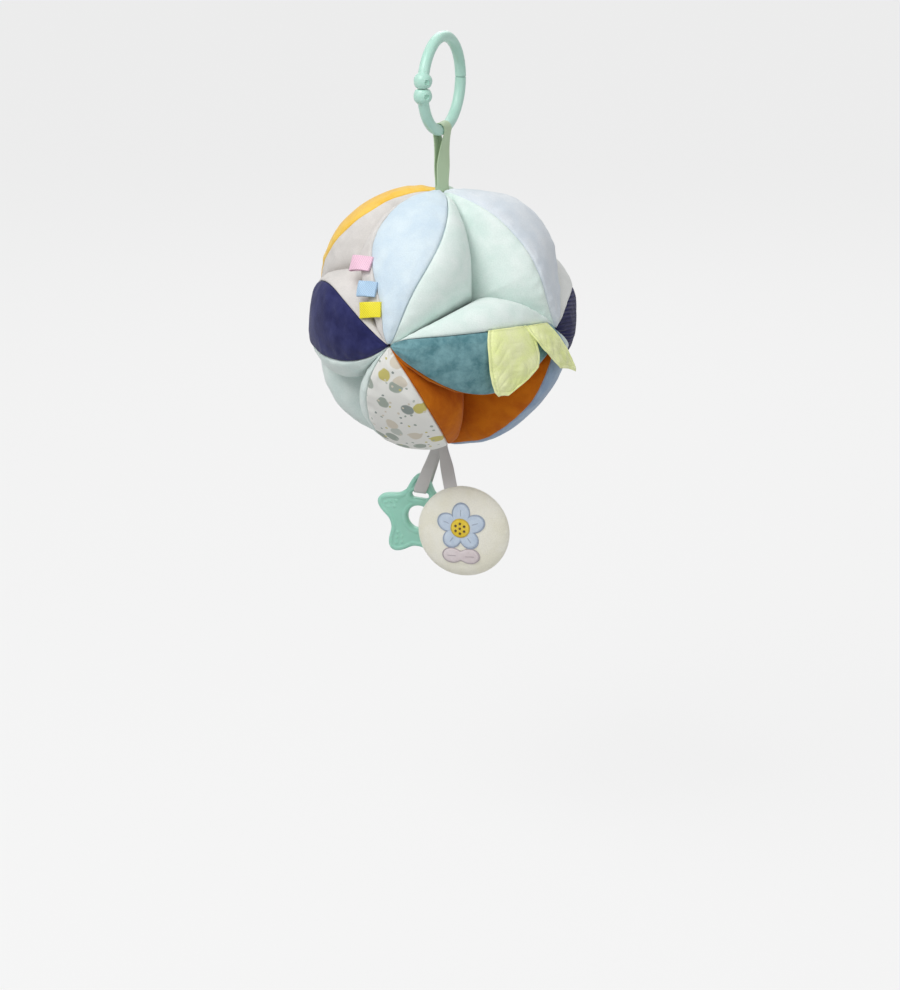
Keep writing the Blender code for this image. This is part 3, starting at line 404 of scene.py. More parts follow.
ROLLED_UNDER_LEAN = 7.5
ROLLED_BACK_LEAN = 2
SEAM_PULLS = {("front_right", 1): 0.64, ("top_front", 1): 0.54, ("top_right", 1): 0.26,
              ("right_bottom", 1): 0.24}
SEAM_PULL = 0.46
HOLLOW_CENTRES = {
    "top_front_right": ((0.43, 0.55, 0.735), 0.0390, 0.12),
    "top_front_left": ((0.58, 0.64, 0.50), 0.0540, 0.60),
    "bottom_front_right": ((0.58, 0.58, 0.58), 0.0320, 0.12),
    "bottom_front_left": ((0.58, 0.58, 0.58), 0.0450, 0.36),
}
PLAIN_HOLLOW = ((1, 1, 1), 0.0563, 0.6)
DENTS = (
    (Vector((0.90, 0.20, 0.38)), 0.0062, 0.0230), (Vector((1, -0.05, 0.10)), 0.0028, 0.0200),
    (Vector((0.72, 0.0, -0.70)), 0.0012, 0.0300), (Vector((0.12, 0.30, 0.95)), 0.0082, 0.0170),
    (Vector((0.22, -0.20, -0.95)), 0.0020, 0.0160), (Vector((-0.88, -0.29, 0.38)), 0.0016, 0.0160),
)
BULGES = (
    (Vector((0.52, 0.28, 0.80)), 0.0050, 0.0400), (Vector((0.74, 0.62, 0.22)), 0.0042, 0.0300),
    (Vector((-0.66, -0.02, 0.76)), 0.0030, 0.0420), (Vector((-0.72, -0.30, -0.62)), 0.0052, 0.0300),
    (Vector((-0.25, -0.48, -0.84)), 0.0026, 0.0340),
)
SEAM_ALLOWANCE = 0.0035
TIP_TURN = math.radians(0.8)
ALONG = 64
PANEL_ACROSS = 20
SIDE_ACROSS = 16
PODS = (
    ("top_front", UP, FRONT), ("top_right", UP, RIGHT), ("top_left", UP, -RIGHT), ("top_back", UP, -FRONT),
    ("front_right", FRONT, RIGHT), ("front_left", FRONT, -RIGHT), ("front_bottom", FRONT, -UP),
    ("right_bottom", RIGHT, -UP), ("left_bottom", -RIGHT, -UP), ("right_back", RIGHT, -FRONT),
    ("left_back", -RIGHT, -FRONT), ("bottom_back", -UP, -FRONT),
)


def pod_sideways(first, second):
    """The way across a pod, so that 1 is the right, the top or the front side of it."""
    sideways = first.cross(second)
    return -sideways if sideways.z + sideways.x - sideways.y < 0 else sideways


POD_WAYS = {name: (first, second) for name, first, second in PODS}


def hollow_name(direction):
    """The hollow that lies in this direction from the ball's centre."""
    return "_".join(("top" if direction.z > 0 else "bottom", "front" if direction.y < 0 else "back",
                     "right" if direction.x > 0 else "left"))


def panel_half_width(turn):
    """Half width of an outer panel: its seams are arcs through the pod's two vertices."""
    middle = math.sqrt((BALL_RADIUS ** 2 - PANEL_HALF_WIDTH ** 2) / 2)
    slope = (2 * middle - BALL_RADIUS) / PANEL_HALF_WIDTH
    spread = (math.cos(turn) + math.sin(turn)) ** 2
    a = slope ** 2 / spread + 1
    b = 2 * BALL_RADIUS * slope / spread
    c = BALL_RADIUS ** 2 * (1 / spread - 1)
    return (math.sqrt(max(b * b - 4 * a * c, 0)) - b) / (2 * a)


def tip_share(turn):
    """0 in the middle of a pod and 1 at either vertex."""
    return 1 - min(turn, QUARTER - turn) / (QUARTER / 2)


def seam_place(pod, turn, side):
    """Where a pod's panel is sewn, beside the pod's middle line, with its sign."""
    narrowing, power = NARROWING_SHARES.get((pod, side), (0, 1))
    narrowed = 1 - narrowing * (turn / QUARTER) ** power * math.sin(2 * turn)
    narrowed -= SEAM_DROPS.get((pod, side), 0) * (1 - turn / QUARTER) ** 4 * math.sin(2 * turn)
    roll = ROLL_SHARES.get(pod, 0) * PANEL_HALF_WIDTH
    return side * narrowed * panel_half_width(turn) + roll * math.sin(2 * turn) ** 2


def outer_place(pod, turn, across):
    """A point on the outer panel, as radius and sideways. Across runs from -1 to 1."""
    left, right = seam_place(pod, turn, -1), seam_place(pod, turn, 1)
    side = left + (right - left) * (across + 1) / 2
    ball = BALL_RADIUS - TIP_DIP * tip_share(turn) ** 4
    to_seam = (1 - abs(across)) * (right - left) / 2
    dip = PANEL_CROWN * across ** 2 + SEAM_DIP * bell(to_seam, 0.0028)
    return Vector((math.sqrt(ball ** 2 - side ** 2) - dip, side))


def hollow_middle(pod, sign):
    """The hollow beside a pod: its deepest point along the pod's own three ways, and how far out."""
    first, second = POD_WAYS[pod]
    sideways = pod_sideways(first, second) * sign
    shares, floor, pull = HOLLOW_CENTRES.get(hollow_name(first + second + sideways), PLAIN_HOLLOW)
    middle = Vector((shares[2], shares[1], shares[0])).normalized()
    ways = (first, second, sideways)
    return [sum(abs(way[i]) * middle[i] for i in range(3)) for way in ways] + [floor, pull]


def crease_turn(pod, sign, along):
    """The turn round the pod at a share of its length, spaced evenly along the hollow's creases."""
    first, second, aside, floor, pull = hollow_middle(pod, sign)
    near, far = (first, second) if along < 0.5 else (second, first)
    whole = math.acos(near)
    swing = TIP_TURN + (whole - TIP_TURN) * min(along, 1 - along) * 2
    turn = math.atan2(math.sin(swing) * far / math.hypot(far, aside), math.cos(swing))
    return turn if along < 0.5 else QUARTER - turn


def side_place(pod, turn, sign, share):
    """A point on a pod's side, from its seam (share 0) to the crease with its neighbour (1)."""
    seam = outer_place(pod, turn, sign)
    seam.y *= sign
    rolled = (seam.y - panel_half_width(turn)) / PANEL_HALF_WIDTH
    first_way, second_way, aside, floor, pull = hollow_middle(pod, sign)
    slope = min(math.sin(turn) * aside / second_way, math.cos(turn) * aside / first_way)
    if math.tan(turn) < second_way / first_way:
        crease_share = math.acos(math.cos(turn) / math.hypot(1, slope)) / math.acos(first_way)
    else:
        crease_share = math.acos(math.sin(turn) / math.hypot(1, slope)) / math.acos(second_way)
    rest = max(1 - crease_share, 0)
    crease_reach = floor + (VERTEX_RADIUS - 0.0006 - floor) * rest ** 1.5
    crease = Vector((1, slope)).normalized() * crease_reach
    reach = (crease - seam).length
    around = Vector((-seam.y, seam.x)).normalized()
    under = pod == "front_right" and sign < 0
    rolled_lean = (ROLLED_UNDER_LEAN if under else ROLLED_OVER_LEAN) if rolled > 0 else ROLLED_BACK_LEAN
    around.rotate(Matrix.Rotation(SIDE_LEAN * (1 + rolled_lean * rolled), 2))
    wall = Vector((1, slope)).normalized()
    first = seam + around * reach * SEAM_PULLS.get((pod, sign), SEAM_PULL)
    second = crease + wall * reach * pull
    rest = 1 - share
    point = (seam * rest ** 3 + first * 3 * rest ** 2 * share + second * 3 * rest * share ** 2
             + crease * share ** 3)
    limit = point.x * slope
    if point.y > limit:
        point.y = limit
    return Vector((point.x, sign * point.y))


def dented(point):
    """Pushes a point of the ball in where the stuffing has sunk, and out where it is packed full."""
    outward = (point - BALL_CENTRE).normalized()
    raised = 0
    for sign, places in ((-1, DENTS), (1, BULGES)):
        for direction, depth, width in places:
            distance = (outward - direction.normalized()).length * BALL_RADIUS
            raised += sign * depth * bell(distance, width)
    return point + outward * raised


def soften(point, to_seam, normal, seed):
    """Moves a point of the ball as stuffed cloth does: soft lumps, seam puckers and gathers."""
    outward = (point - BALL_CENTRE).normalized()
    lump = noise.noise(point * 32 + seed) * LUMPS + noise.noise(point * 75 + seed) * 0.0004
    moved = dented(point) + outward * lump
    pucker = noise.noise(point * 190) + 0.6 * noise.noise(point * 90)
    near_seam = to_seam / PUCKER_REACH
    moved += normal * pucker * PUCKERS * near_seam * math.exp(1 - near_seam)
    for vertex in (UP, -UP, FRONT, -FRONT, RIGHT, -RIGHT):
        if outward.dot(vertex) > 0.9:
            away = outward - vertex * outward.dot(vertex)
            distance = away.length * BALL_RADIUS
            sides = [axis for axis in (UP, FRONT, RIGHT) if abs(axis.dot(vertex)) < 0.5]
            around = math.atan2(away.dot(sides[0]), away.dot(sides[1]))
            pull = bell(distance, 0.0075)
            folds = math.sin(12 * around + 2 * math.sin(3 * around)) * min(distance / 0.006, 1)
            fade = bell(distance, 0.016)
            moved -= outward * (TIP_PULL * pull - TIP_FOLDS * folds * fade)
    return moved


def even_turn(along):
    return TIP_TURN + (QUARTER - 2 * TIP_TURN) * along


def pod_grid(shape, first, sideways, second, across_steps, place, middle, seams, turn_at=even_turn):
    """Adds a grid of one cloth to a bmesh and lays it on the pod. Its UV map is in metres.
    It faces away from middle, and is sewn along the edges, 0 or 1 across, that seams names."""
    cloth_places = {}
    seed = (first + second) * 9.1

    def world(along, across):
        point = place(turn_at(along), across)
        turn = turn_at(along)
        return BALL_CENTRE + (first * math.cos(turn) + second * math.sin(turn)) * point.x + sideways * point.y

    for vert, (along, across) in laid_grid(shape, ALONG, across_steps).items():
        point = world(along, across)
        step = 0.004
        run_a = world(min(along + step, 1), across) - world(max(along - step, 0), across)
        run_b = world(along, min(across + step, 1)) - world(along, max(across - step, 0))
        normal = run_a.cross(run_b).normalized()
        if normal.dot(point - middle) < 0:
            normal = -normal
        to_seam = min((point - world(along, edge)).length for edge in seams)
        fade = math.sin(math.pi * along) ** 0.5 if 0 < along < 1 else 0
        vert.co = soften(point, to_seam * fade, normal, seed)
        width = place(turn_at(along), 1) - place(turn_at(along), 0)
        cloth_places[vert] = (along * QUARTER * BALL_RADIUS, (across - 0.5) * width.length)
    map_cloth(shape, cloth_places)


def tuck_in(shape):
    """Turns the sewn edges of a cloth inwards, as the seam allowance inside a seam."""
    extruded = bmesh.ops.extrude_edge_only(shape, edges=open_edges(shape))["geom"]
    for vert in extruded:
        if isinstance(vert, bmesh.types.BMVert):
            vert.co += (BALL_CENTRE - vert.co).normalized() * SEAM_ALLOWANCE


def turn_out(shape, outwards):
    """Turns all the faces over if most of them face in. outwards(place) is the way out at a place."""
    if sum(face.normal.dot(outwards(face.calc_center_median())) for face in shape.faces) < 0:
        bmesh.ops.reverse_faces(shape, faces=shape.faces)


def from_centre(place):
    return place - BALL_CENTRE


# Cloths of the ball. Short velour has a fine nap with brushed patches, plush a longer and clumped
# pile, the navy back panel is ribbed, and one panel is plain cotton with a small pebble print.
def nap_group():
    """Nap of a pile cloth: brushed patches in the colour, and a height for pile and patches."""
    group, given, result = cloth_group("cloth nap", {
        "Colour": WHITE, "Brushed colour": WHITE, "Patch scale": 60, "Pile scale": 1500, "Clumping": 0.3})
    place = node(group, "TexCoord")
    patches = node(group, "TexNoise", Detail=5, Roughness=0.62, Distortion=0.25, Vector=(place, "Object"),
                   Scale=(given, "Patch scale"))
    patch_mask = node(group, "MapRange", From_Min=0.36, From_Max=0.64, Value=(patches, "Fac"))
    pile = node(group, "TexNoise", Detail=2, Roughness=0.7, Vector=(place, "Object"),
                Scale=(given, "Pile scale"))
    clump_scale = node(group, "Math", operation="MULTIPLY", _0=(given, "Pile scale"), _1=0.16)
    clumps = node(group, "TexNoise", Detail=3, Roughness=0.6, Distortion=0.5, Vector=(place, "Object"),
                  Scale=(clump_scale, "Value"))
    brushed = node(group, "Mix", data_type="RGBA", Factor=(patch_mask, "Result"), A=(given, "Colour"),
                   B=(given, "Brushed colour"))
    grain = node(group, "MapRange", To_Min=0.86, To_Max=1.1, Value=(pile, "Fac"))
    grained = multiplied(group, (brushed, "Result"), (grain, "Result"))
    height = node(group, "Mix", data_type="FLOAT", Factor=(given, "Clumping"), A=(pile, "Fac"),
                  B=(clumps, "Fac"))
    set_up(result, Colour=(grained, "Result"), Height=(height, "Result"))
    return group


NAP = nap_group()


def pile_cloth(name, colour, brushed, patch_scale=60, pile_scale=1500, clumping=0.25, depth=0.0003,
               sheen=0.35):
    """Velour or plush in one colour, with its brushed patches in a second."""
    colour = screen_colour(*colour)
    material, tree, shader = new_material(name, colour, 0.92, Sheen_Weight=sheen, Sheen_Roughness=0.45,
                                          Specular_IOR_Level=0.2)
    nap = node(tree, "Group", node_tree=NAP, Colour=colour, Brushed_colour=screen_colour(*brushed),
               Patch_scale=patch_scale, Pile_scale=pile_scale, Clumping=clumping)
    bump = node(tree, "Bump", Strength=0.6, Distance=depth, Height=(nap, "Height"))
    set_up(shader, Base_Color=(nap, "Colour"), Normal=(bump, "Normal"))
    return material


cloths = {slot: pile_cloth(slot.replace("_", " "), *finish) for slot, *finish in (
    ("sky_velour", (207, 225, 238), (220, 235, 243)),
    ("pale_grey_velour", (216, 225, 234), (228, 234, 240)),
    ("mustard_velour", (243, 190, 72), (249, 208, 98)),
    ("sage_velour", (190, 214, 194), (204, 224, 207)),
    ("teal_plush", (84, 128, 136), (126, 169, 176), 110, 1100, 0.55, 0.0008, 0.3),
    ("navy_plush", (37, 39, 82), (56, 59, 106), 70, 1200, 0.4, 0.0005, 0.14),
    ("steel_blue_velour", (138, 160, 188), (156, 178, 203)),
    ("pale_mint_velour", (216, 232, 228), (229, 241, 237)),
    ("white_velour", (231, 234, 232), (240, 242, 240)),
    ("rust_velour", (180, 92, 12), (202, 114, 22), 60, 1500, 0.25, 0.0003, 0.08),
    ("beige_velour", (214, 210, 206), (226, 222, 218)),
    ("mint_velour", (220, 237, 231), (233, 244, 240)),
)}

ribbed, tree, shader = new_material("navy ribbed velour", screen_colour(40, 42, 92), 0.9, Sheen_Weight=0.12)
nap = node(tree, "Group", node_tree=NAP, Colour=screen_colour(32, 33, 78),
           Brushed_colour=screen_colour(44, 46, 94))
uv = node(tree, "UVMap", uv_map="cloth")
ribs = node(tree, "TexWave", wave_type="BANDS", bands_direction="Y", Scale=130, Distortion=0.2, Detail=1,
            Detail_Scale=2, Vector=(uv, "UV"))
# Painted shade in the grooves between the ribs, and a little painted light on their tops, from the same bands
# as the ribs' bump.
rib_shade = node(tree, "MapRange", To_Min=0.68, To_Max=1.1, Value=(ribs, "Fac"))
shaded = multiplied(tree, (nap, "Colour"), (rib_shade, "Result"))
rib_bump = node(tree, "Bump", Strength=0.9, Distance=0.0012, Height=(ribs, "Fac"))
nap_bump = node(tree, "Bump", Strength=0.5, Distance=0.0003, Height=(nap, "Height"),
                Normal=(rib_bump, "Normal"))
set_up(shader, Base_Color=(shaded, "Result"), Normal=(nap_bump, "Normal"))
cloths["navy_ribbed_velour"] = ribbed

printed, tree, shader = new_material("printed cotton", screen_colour(232, 232, 226), 0.85, Sheen_Weight=0.15)
uv = node(tree, "UVMap", uv_map="cloth")
wobble = node(tree, "TexNoise", Scale=120, Detail=1, Vector=(uv, "UV"))
wobbly = node(tree, "Mix", data_type="RGBA", blend_type="LINEAR_LIGHT", Factor=0.0016, A=(uv, "UV"),
              B=(wobble, "Color"))
ground = screen_colour(235, 235, 230)
for scale, reach, fewest in ((82, 0.38, 0.3), (230, 0.22, 0.62)):
    pebbles = node(tree, "TexVoronoi", voronoi_dimensions="2D", Scale=scale, Randomness=0.8,
                   Vector=(wobbly, "Result"))
    mask = node(tree, "MapRange", From_Min=reach, From_Max=reach - 0.06, Value=(pebbles, "Distance"))
    kind = node(tree, "SeparateColor", Color=(pebbles, "Color"))
    tone = node(tree, "ValToRGB", Fac=(kind, "Red"))
    tone.color_ramp.interpolation = "CONSTANT"
    for position, colour in ((0.0, (160, 170, 160)), (0.3, (190, 196, 188)), (0.5, (200, 190, 112)),
                             (0.64, (140, 150, 146)), (0.82, (214, 206, 190))):
        stop = tone.color_ramp.elements.new(position) if position else tone.color_ramp.elements[0]
        stop.color = screen_colour(*colour)
    tone.color_ramp.elements.remove(tone.color_ramp.elements[-1])
    kept = node(tree, "Math", operation="GREATER_THAN", _0=(kind, "Green"), _1=fewest)
    shown = node(tree, "Math", operation="MULTIPLY", _0=(mask, "Result"), _1=(kept, "Value"))
    laid = node(tree, "Mix", data_type="RGBA", Factor=(shown, "Value"), A=ground, B=(tone, "Color"))
    ground = (laid, "Result")
threads = node(tree, "TexNoise", Scale=2600, Detail=2)
thread_bump = node(tree, "Bump", Strength=0.35, Distance=0.0001, Height=(threads, "Fac"))
set_up(shader, Base_Color=ground, Normal=(thread_bump, "Normal"))
cloths["printed_cotton"] = printed

PANEL_CLOTHS = {
    "top_front": "sky_velour", "top_right": "pale_grey_velour", "top_left": "mustard_velour",
    "top_back": "sage_velour", "front_right": "teal_plush", "front_left": "navy_plush",
    "front_bottom": "printed_cotton", "right_bottom": "steel_blue_velour",
    "left_bottom": "pale_mint_velour", "right_back": "navy_ribbed_velour", "left_back": "teal_plush",
    "bottom_back": "mustard_velour",
}
HOLLOW_CLOTHS = {
    "top_front_right": "mint_velour", "top_front_left": "beige_velour", "top_back_right": "white_velour",
    "top_back_left": "steel_blue_velour", "bottom_front_right": "rust_velour",
    "bottom_front_left": "pale_mint_velour", "bottom_back_right": "mint_velour",
    "bottom_back_left": "beige_velour",
}


hollow_shapes = {name: bmesh.new() for name in HOLLOW_CLOTHS}
for name, first, second in PODS:
    sideways = pod_sideways(first, second)
    panel = bmesh.new()
    pod_grid(panel, first, sideways, second, PANEL_ACROSS,
             lambda turn, across: outer_place(name, turn, 2 * across - 1), BALL_CENTRE, (0, 1))
    tuck_in(panel)
    bmesh.ops.recalc_face_normals(panel, faces=panel.faces)
    turn_out(panel, from_centre)
    cloth = PANEL_CLOTHS[name]
    piece = add_piece("outer_panel_" + name, panel, cloths[cloth], cloth,
                      ["panel_" + name, "stuffing_" + name], "ball", 1)
    pod_middle = BALL_CENTRE + (first + second) * 0.040
    for sign in (1, -1):
        shape = hollow_shapes[hollow_name(first + second + sideways * sign)]
        pod_grid(shape, first, sideways, second, SIDE_ACROSS,
                 lambda turn, share: side_place(name, turn, sign, share), pod_middle, (0,),
                 lambda along: crease_turn(name, sign, along))

for name, shape in hollow_shapes.items():
    bmesh.ops.remove_doubles(shape, verts=shape.verts, dist=0.00012)
    bmesh.ops.recalc_face_normals(shape, faces=shape.faces)
    turn_out(shape, from_centre)
    tuck_in(shape)
    bmesh.ops.recalc_face_normals(shape, faces=shape.faces)
    cloth = HOLLOW_CLOTHS[name]
    piece = add_piece("hollow_lining_" + name, shape, cloths[cloth], cloth, ["lining_" + name], "ball", 1)


# Tag loops. Three short lengths of satin ribbon, pink, blue and yellow, each folded double, with its
# two ends sewn into the left seam of the light blue panel.
TAG_WIDTH = 0.0095
TAG_LAYER = 0.0006
TAG_FOLD = 0.0010


def tag_loop(name, degrees, tag_length, colour, slot, tilt, droop):
    """One tag, pinched at its sewn ends and open at its fold. Tilt swings it about its seam."""
    turn = math.radians(degrees)
    flat = outer_place("top_front", turn, -1)
    seam = dented(BALL_CENTRE + (UP * math.cos(turn) + FRONT * math.sin(turn)) * flat.x + RIGHT * flat.y)
    normal = (seam - BALL_CENTRE).normalized()
    outwards = (-RIGHT + normal * RIGHT.dot(normal)).normalized()
    along_seam = normal.cross(outwards)
    tilted = Matrix.Rotation(math.radians(tilt), 3, normal)

    def place(along, side):
        fold = 2 * along - 1
        share = (abs(fold) - 0.14) / 0.86
        if share < 0:
            bend = fold / 0.14 * QUARTER
            out, lift = tag_length - TAG_FOLD * (1 - math.cos(bend)), TAG_FOLD * math.sin(bend)
        else:
            out = (tag_length - TAG_FOLD) * (1 - share) - 0.0004 * share
            lift = math.copysign(TAG_FOLD - (TAG_FOLD - 0.0004) * blend_share(0.45, 1, share), fold)
        reach = out / tag_length
        lift += 0.0007 + 0.0006 * math.sin(3 * side + 5 * reach + degrees) * reach
        width = TAG_WIDTH * (1 + 0.04 * reach)
        flat_part = tilted @ (outwards * out + along_seam * side * width)
        return seam + flat_part + normal * (lift - droop * reach ** 2) + along_seam * 0.0006 * reach ** 2

    material = ribbon_material(name + " satin", colour, 0.42, 4200, 0.5)
    shape = ribbon(72, TAG_WIDTH, TAG_LAYER, place)
    add_piece(name + "_tag_loop", shape, material, slot, ["tag_" + name], name + "_tag")


tag_loop("pink", 55, 0.0160, (252, 206, 228), "pink_ribbon", -6, 0.0012)
tag_loop("blue", 66.2, 0.0130, (178, 211, 240), "blue_ribbon", -2, 0.0005)
tag_loop("yellow", 74.4, 0.0147, (250, 236, 52), "yellow_ribbon", 5, 0.0010)


# Leaves. Two lime velour leaves with a thin fill, sewn into the upper seam of the teal panel. Each
# is stitched round just inside its edge, with its veins sewn through both layers.
LEAF_FILL = 0.0026
LEAF_STITCH = 0.0022
STITCH_DEPTH = 0.00055
SPINE_DEPTH = 0.0006
VEIN_DEPTH = 0.0004
VEIN_WIDTH = 0.0008
LEAF_SETS = (
    ("front_leaf", "leaf_front", 0.0405, 0, 0.0,
     ((0, 43.6, 63), (0.10, 43, 65), (0.22, 42.8, 66.4), (0.42, 43, 67.8), (0.62, 43.6, 66.4),
      (0.78, 44.2, 61.6), (0.92, 45.4, 55.4), (1, 47.4, 51.4))),
    ("side_leaf", "leaf_side", 0.0272, 0.0050, 2.0,
     ((0, 62.4, 77.4), (0.12, 63.2, 79.6), (0.28, 64.8, 82), (0.5, 67.8, 84.8), (0.72, 71.4, 87.4),
      (0.9, 74.4, 88.6), (1, 77.0, 88.2))),
)
lime = pile_cloth("lime velour", (240, 249, 172), (247, 252, 196), 90, 1300, 0.4, 0.0005, 0.4)


def smooth_row(rows, share):
    """The leaf's two edge turns at a share of its drop, between the rows of its cut."""
    for above, below in zip(rows, rows[1:]):
        if share <= below[0]:
            step = (share - above[0]) / (below[0] - above[0])
            return [math.radians(above[i] + (below[i] - above[i]) * step) for i in (1, 2)]
    return [math.radians(value) for value in rows[-1][1:]]


def padded_leaf(name, node_name, drop, flare, seed, rows):
    """One leaf, cut between its rows of edge turns, that hangs from its seam over the ball."""
    def place(along, side):
        left, right = smooth_row(rows, along)
        turn = left + (right - left) * (side + 0.5)
        seam_height = seam_place("front_right", turn, 1)
        seam_radius = outer_place("front_right", turn, 1).x + 0.0011
        hang = BALL_RADIUS + 0.0024
        bent = 1 - (1 - clamped(2 * along)) ** 2
        radius = seam_radius + (hang - seam_radius) * bent + flare * along
        wave = noise.noise(Vector((turn * 11, along * 4.1, seed))) * 0.0024 * along
        curl = 0.0012 * (2 * abs(side)) ** 3 * along
        out = FRONT * math.cos(turn) + RIGHT * math.sin(turn)
        return dented(BALL_CENTRE + out * (radius + wave + curl) + UP * (seam_height - drop * along))

    shape = bmesh.new()
    cloth_places = {}
    for vert, (down, round_share) in laid_grid(shape, 110, 112).items():
        around = math.tau * round_share
        cloth_places[vert] = (down * drop, 0.5 * math.cos(around) * 0.03)
        along = -0.03 + 1.03 * down
        side = 0.5 * math.copysign(abs(math.cos(around)) ** 0.62, math.cos(around))
        upper = 1 if math.sin(around) > 0 else -1
        left, right = smooth_row(rows, max(along, 0))
        half_width = (right - left) / 2 * BALL_RADIUS
        to_side = (0.5 - abs(side)) * 2 * half_width
        to_tip = (1 - down) * drop
        to_edge = min(to_side, to_tip * 0.9)
        fill = LEAF_FILL / 2 * (0.45 + 0.55 * blend_share(LEAF_STITCH, 0.0065, to_edge))
        stitch = 0.8 + 0.2 * math.sin(down * drop * 2600)
        fill -= STITCH_DEPTH * bell(to_edge - LEAF_STITCH, 0.0006) * stitch
        if along > 0.10:
            spine = abs(side) * 2 * half_width
            rib = abs(((along - 1.1 * abs(side)) * 4.4) % 1 - 0.5) / 4.4 * drop * 0.8
            inside = blend_share(0.10, 0.2, along) * blend_share(0.0025, 0.005, to_edge)
            fill -= SPINE_DEPTH * bell(spine, VEIN_WIDTH) * inside
            faded = 1 - 0.6 * blend_share(0.2, 0.5, abs(side))
            fill -= VEIN_DEPTH * bell(rib, VEIN_WIDTH) * inside * faded
        fill *= min(to_edge / 0.0006, 1) ** 0.5 if to_edge < 0.0006 else 1
        run = place(along + 0.01, side) - place(along - 0.01, side)
        over = place(along, min(side + 0.02, 0.5)) - place(along, max(side - 0.02, -0.5))
        vert.co = place(along, side) + run.cross(over).normalized() * fill * upper * -1
    map_cloth(shape, cloth_places)
    close_up(shape, weld=5e-6, ends=True)
    piece = add_piece(name + "_piece", shape, lime, "lime_plush", [node_name], name)


for name, node_name, drop, flare, seed, rows in LEAF_SETS:
    padded_leaf(name, node_name, drop, flare, seed, rows)


# Teether ribbon. Grey satin ribbon, sewn double into the ball's lowest point and threaded through
# the star's slot, so that a layer lies on either side of the star's upper point.
GREY_WIDTH = 0.0088
GREY_SEWN_WIDTH = 0.0064
GREY_LAYER = 0.0006
TEETHER_WIDTH = 0.0097
STAR_MIDDLE = Vector((-0.0178, 0.0035, -0.3128))
STAR_LEAN = math.radians(3)
STAR_TURN = math.radians(8)
SLOT_HEIGHT = 0.0046
SLOT_RADIUS = 0.0152
TEETHER_ROOT = Vector((-0.0036, 0.0013, -0.2605))
star_turn = Matrix.Rotation(STAR_TURN, 4, "Z") @ Matrix.Rotation(STAR_LEAN, 4, "Y")
star_frame = Matrix.Translation(STAR_MIDDLE) @ (star_turn @ Matrix.Rotation(QUARTER, 4, "X"))
star_axis = (star_frame.to_3x3() @ Vector((1, 0, 0))).normalized()
slot_top = star_frame @ Vector((0, SLOT_RADIUS + SLOT_HEIGHT / 2, 0))
grey_satin = ribbon_material("grey satin", (212, 209, 208), 0.4, 4200, 0.5)


def soft_line(points, rounds=3):
    """A line of points with its corners cut off again and again, which leaves a soft curve."""
    for _ in range(rounds):
        cut = [points[0]]
        for first, second in zip(points, points[1:]):
            cut += [first.lerp(second, 0.25), first.lerp(second, 0.75)]
        points = cut + [points[-1]]
    return points


def along_line(points, share):
    """The place at a share of a line's length."""
    lengths = [(second - first).length for first, second in zip(points, points[1:])]
    left = clamped(share) * sum(lengths)
    for first, second, length in zip(points, points[1:], lengths):
        if left <= length:
            return first.lerp(second, left / length)
        left -= length
    return points[-1]


teether_run = TEETHER_ROOT.z - slot_top.z
half_route = [Vector(pair) for pair in (
    (0.00036, -0.006), (0.00040, 0.001), (0.0014, 0.008), (0.0034, 0.0145), (0.0040, 0.0175),
    (0.0040, 0.0265), (0.0040, teether_run - 0.0030), (0.0038, teether_run - 0.0006),
    (0.0024, teether_run + 0.0004), (0, teether_run + 0.0004))]
route = soft_line([Vector((-point.x, point.y)) for point in half_route[:-1]] + half_route[::-1])


def teether_ribbon_place(along, side):
    """Down in front, through the slot and up behind, widening and leaning, then gathered in the slot."""
    point = along_line(route, along)
    share = point.y / teether_run
    width = GREY_SEWN_WIDTH + (TEETHER_WIDTH - GREY_SEWN_WIDTH) * clamped(share)
    width -= 0.0015 * blend_share(0.88, 0.99, share)
    centre = TEETHER_ROOT.lerp(slot_top, clamped(share)) + UP * (min(share, 1) - share) * teether_run
    if share < 0:
        centre = TEETHER_ROOT - UP * point.y
    hung = blend_share(0, 0.42, share)
    centre.y = TEETHER_ROOT.y + (slot_top.y - TEETHER_ROOT.y) * hung
    axis = RIGHT.lerp(star_axis, hung).normalized()
    backwards = UP.cross(axis).normalized()
    ripple = 0.00018 * math.sin(along * 23 + 3 * side) * math.sin(math.pi * clamped(share))
    return centre + backwards * (point.x + ripple) + axis * side * width


teether_shape = ribbon(120, TEETHER_WIDTH, GREY_LAYER, teether_ribbon_place)
teether_ribbon = add_piece("teether_ribbon_piece", teether_shape, grey_satin, "grey_ribbon",
                           ["teether_ribbon", "teether_sewn_end"], None)
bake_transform(teether_ribbon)


# Star teether. One soft star moulded in mint silicone, with rounded edges, a finger hole in its
# middle, a slot for the ribbon, and small raised pips on its points for gums to feel.
STAR_TIP = 0.0300
STAR_WAIST = 0.0202
STAR_HOLE = 0.0080
STAR_ROUND = 0.0018
STAR_HALF = 0.0030
STAR_SINK = 0.0005
STAR_PIPS = ((0.0212, -0.0022), (0.0212, 0.0022), (0.0242, 0), (0.0180, 0), (0.0180, 0.0042))
PIP_HEIGHT = 0.0005
SLOT_WIDTH = 0.0120
SLOT_ROUND_AT = SLOT_WIDTH / 2 - SLOT_HEIGHT / 2


def star_radius(turn):
    """How far out the star's rim is at a turn from its upper point."""
    return STAR_WAIST + (STAR_TIP - STAR_WAIST) * (0.5 + 0.5 * math.cos(5 * turn)) ** 1.4


def slot_distance(flat):
    """How far a place is outside the slot, whose ends are half rounds."""
    end = Vector((max(min(flat.x, SLOT_ROUND_AT), -SLOT_ROUND_AT), SLOT_RADIUS))
    return (flat - end).length - SLOT_HEIGHT / 2


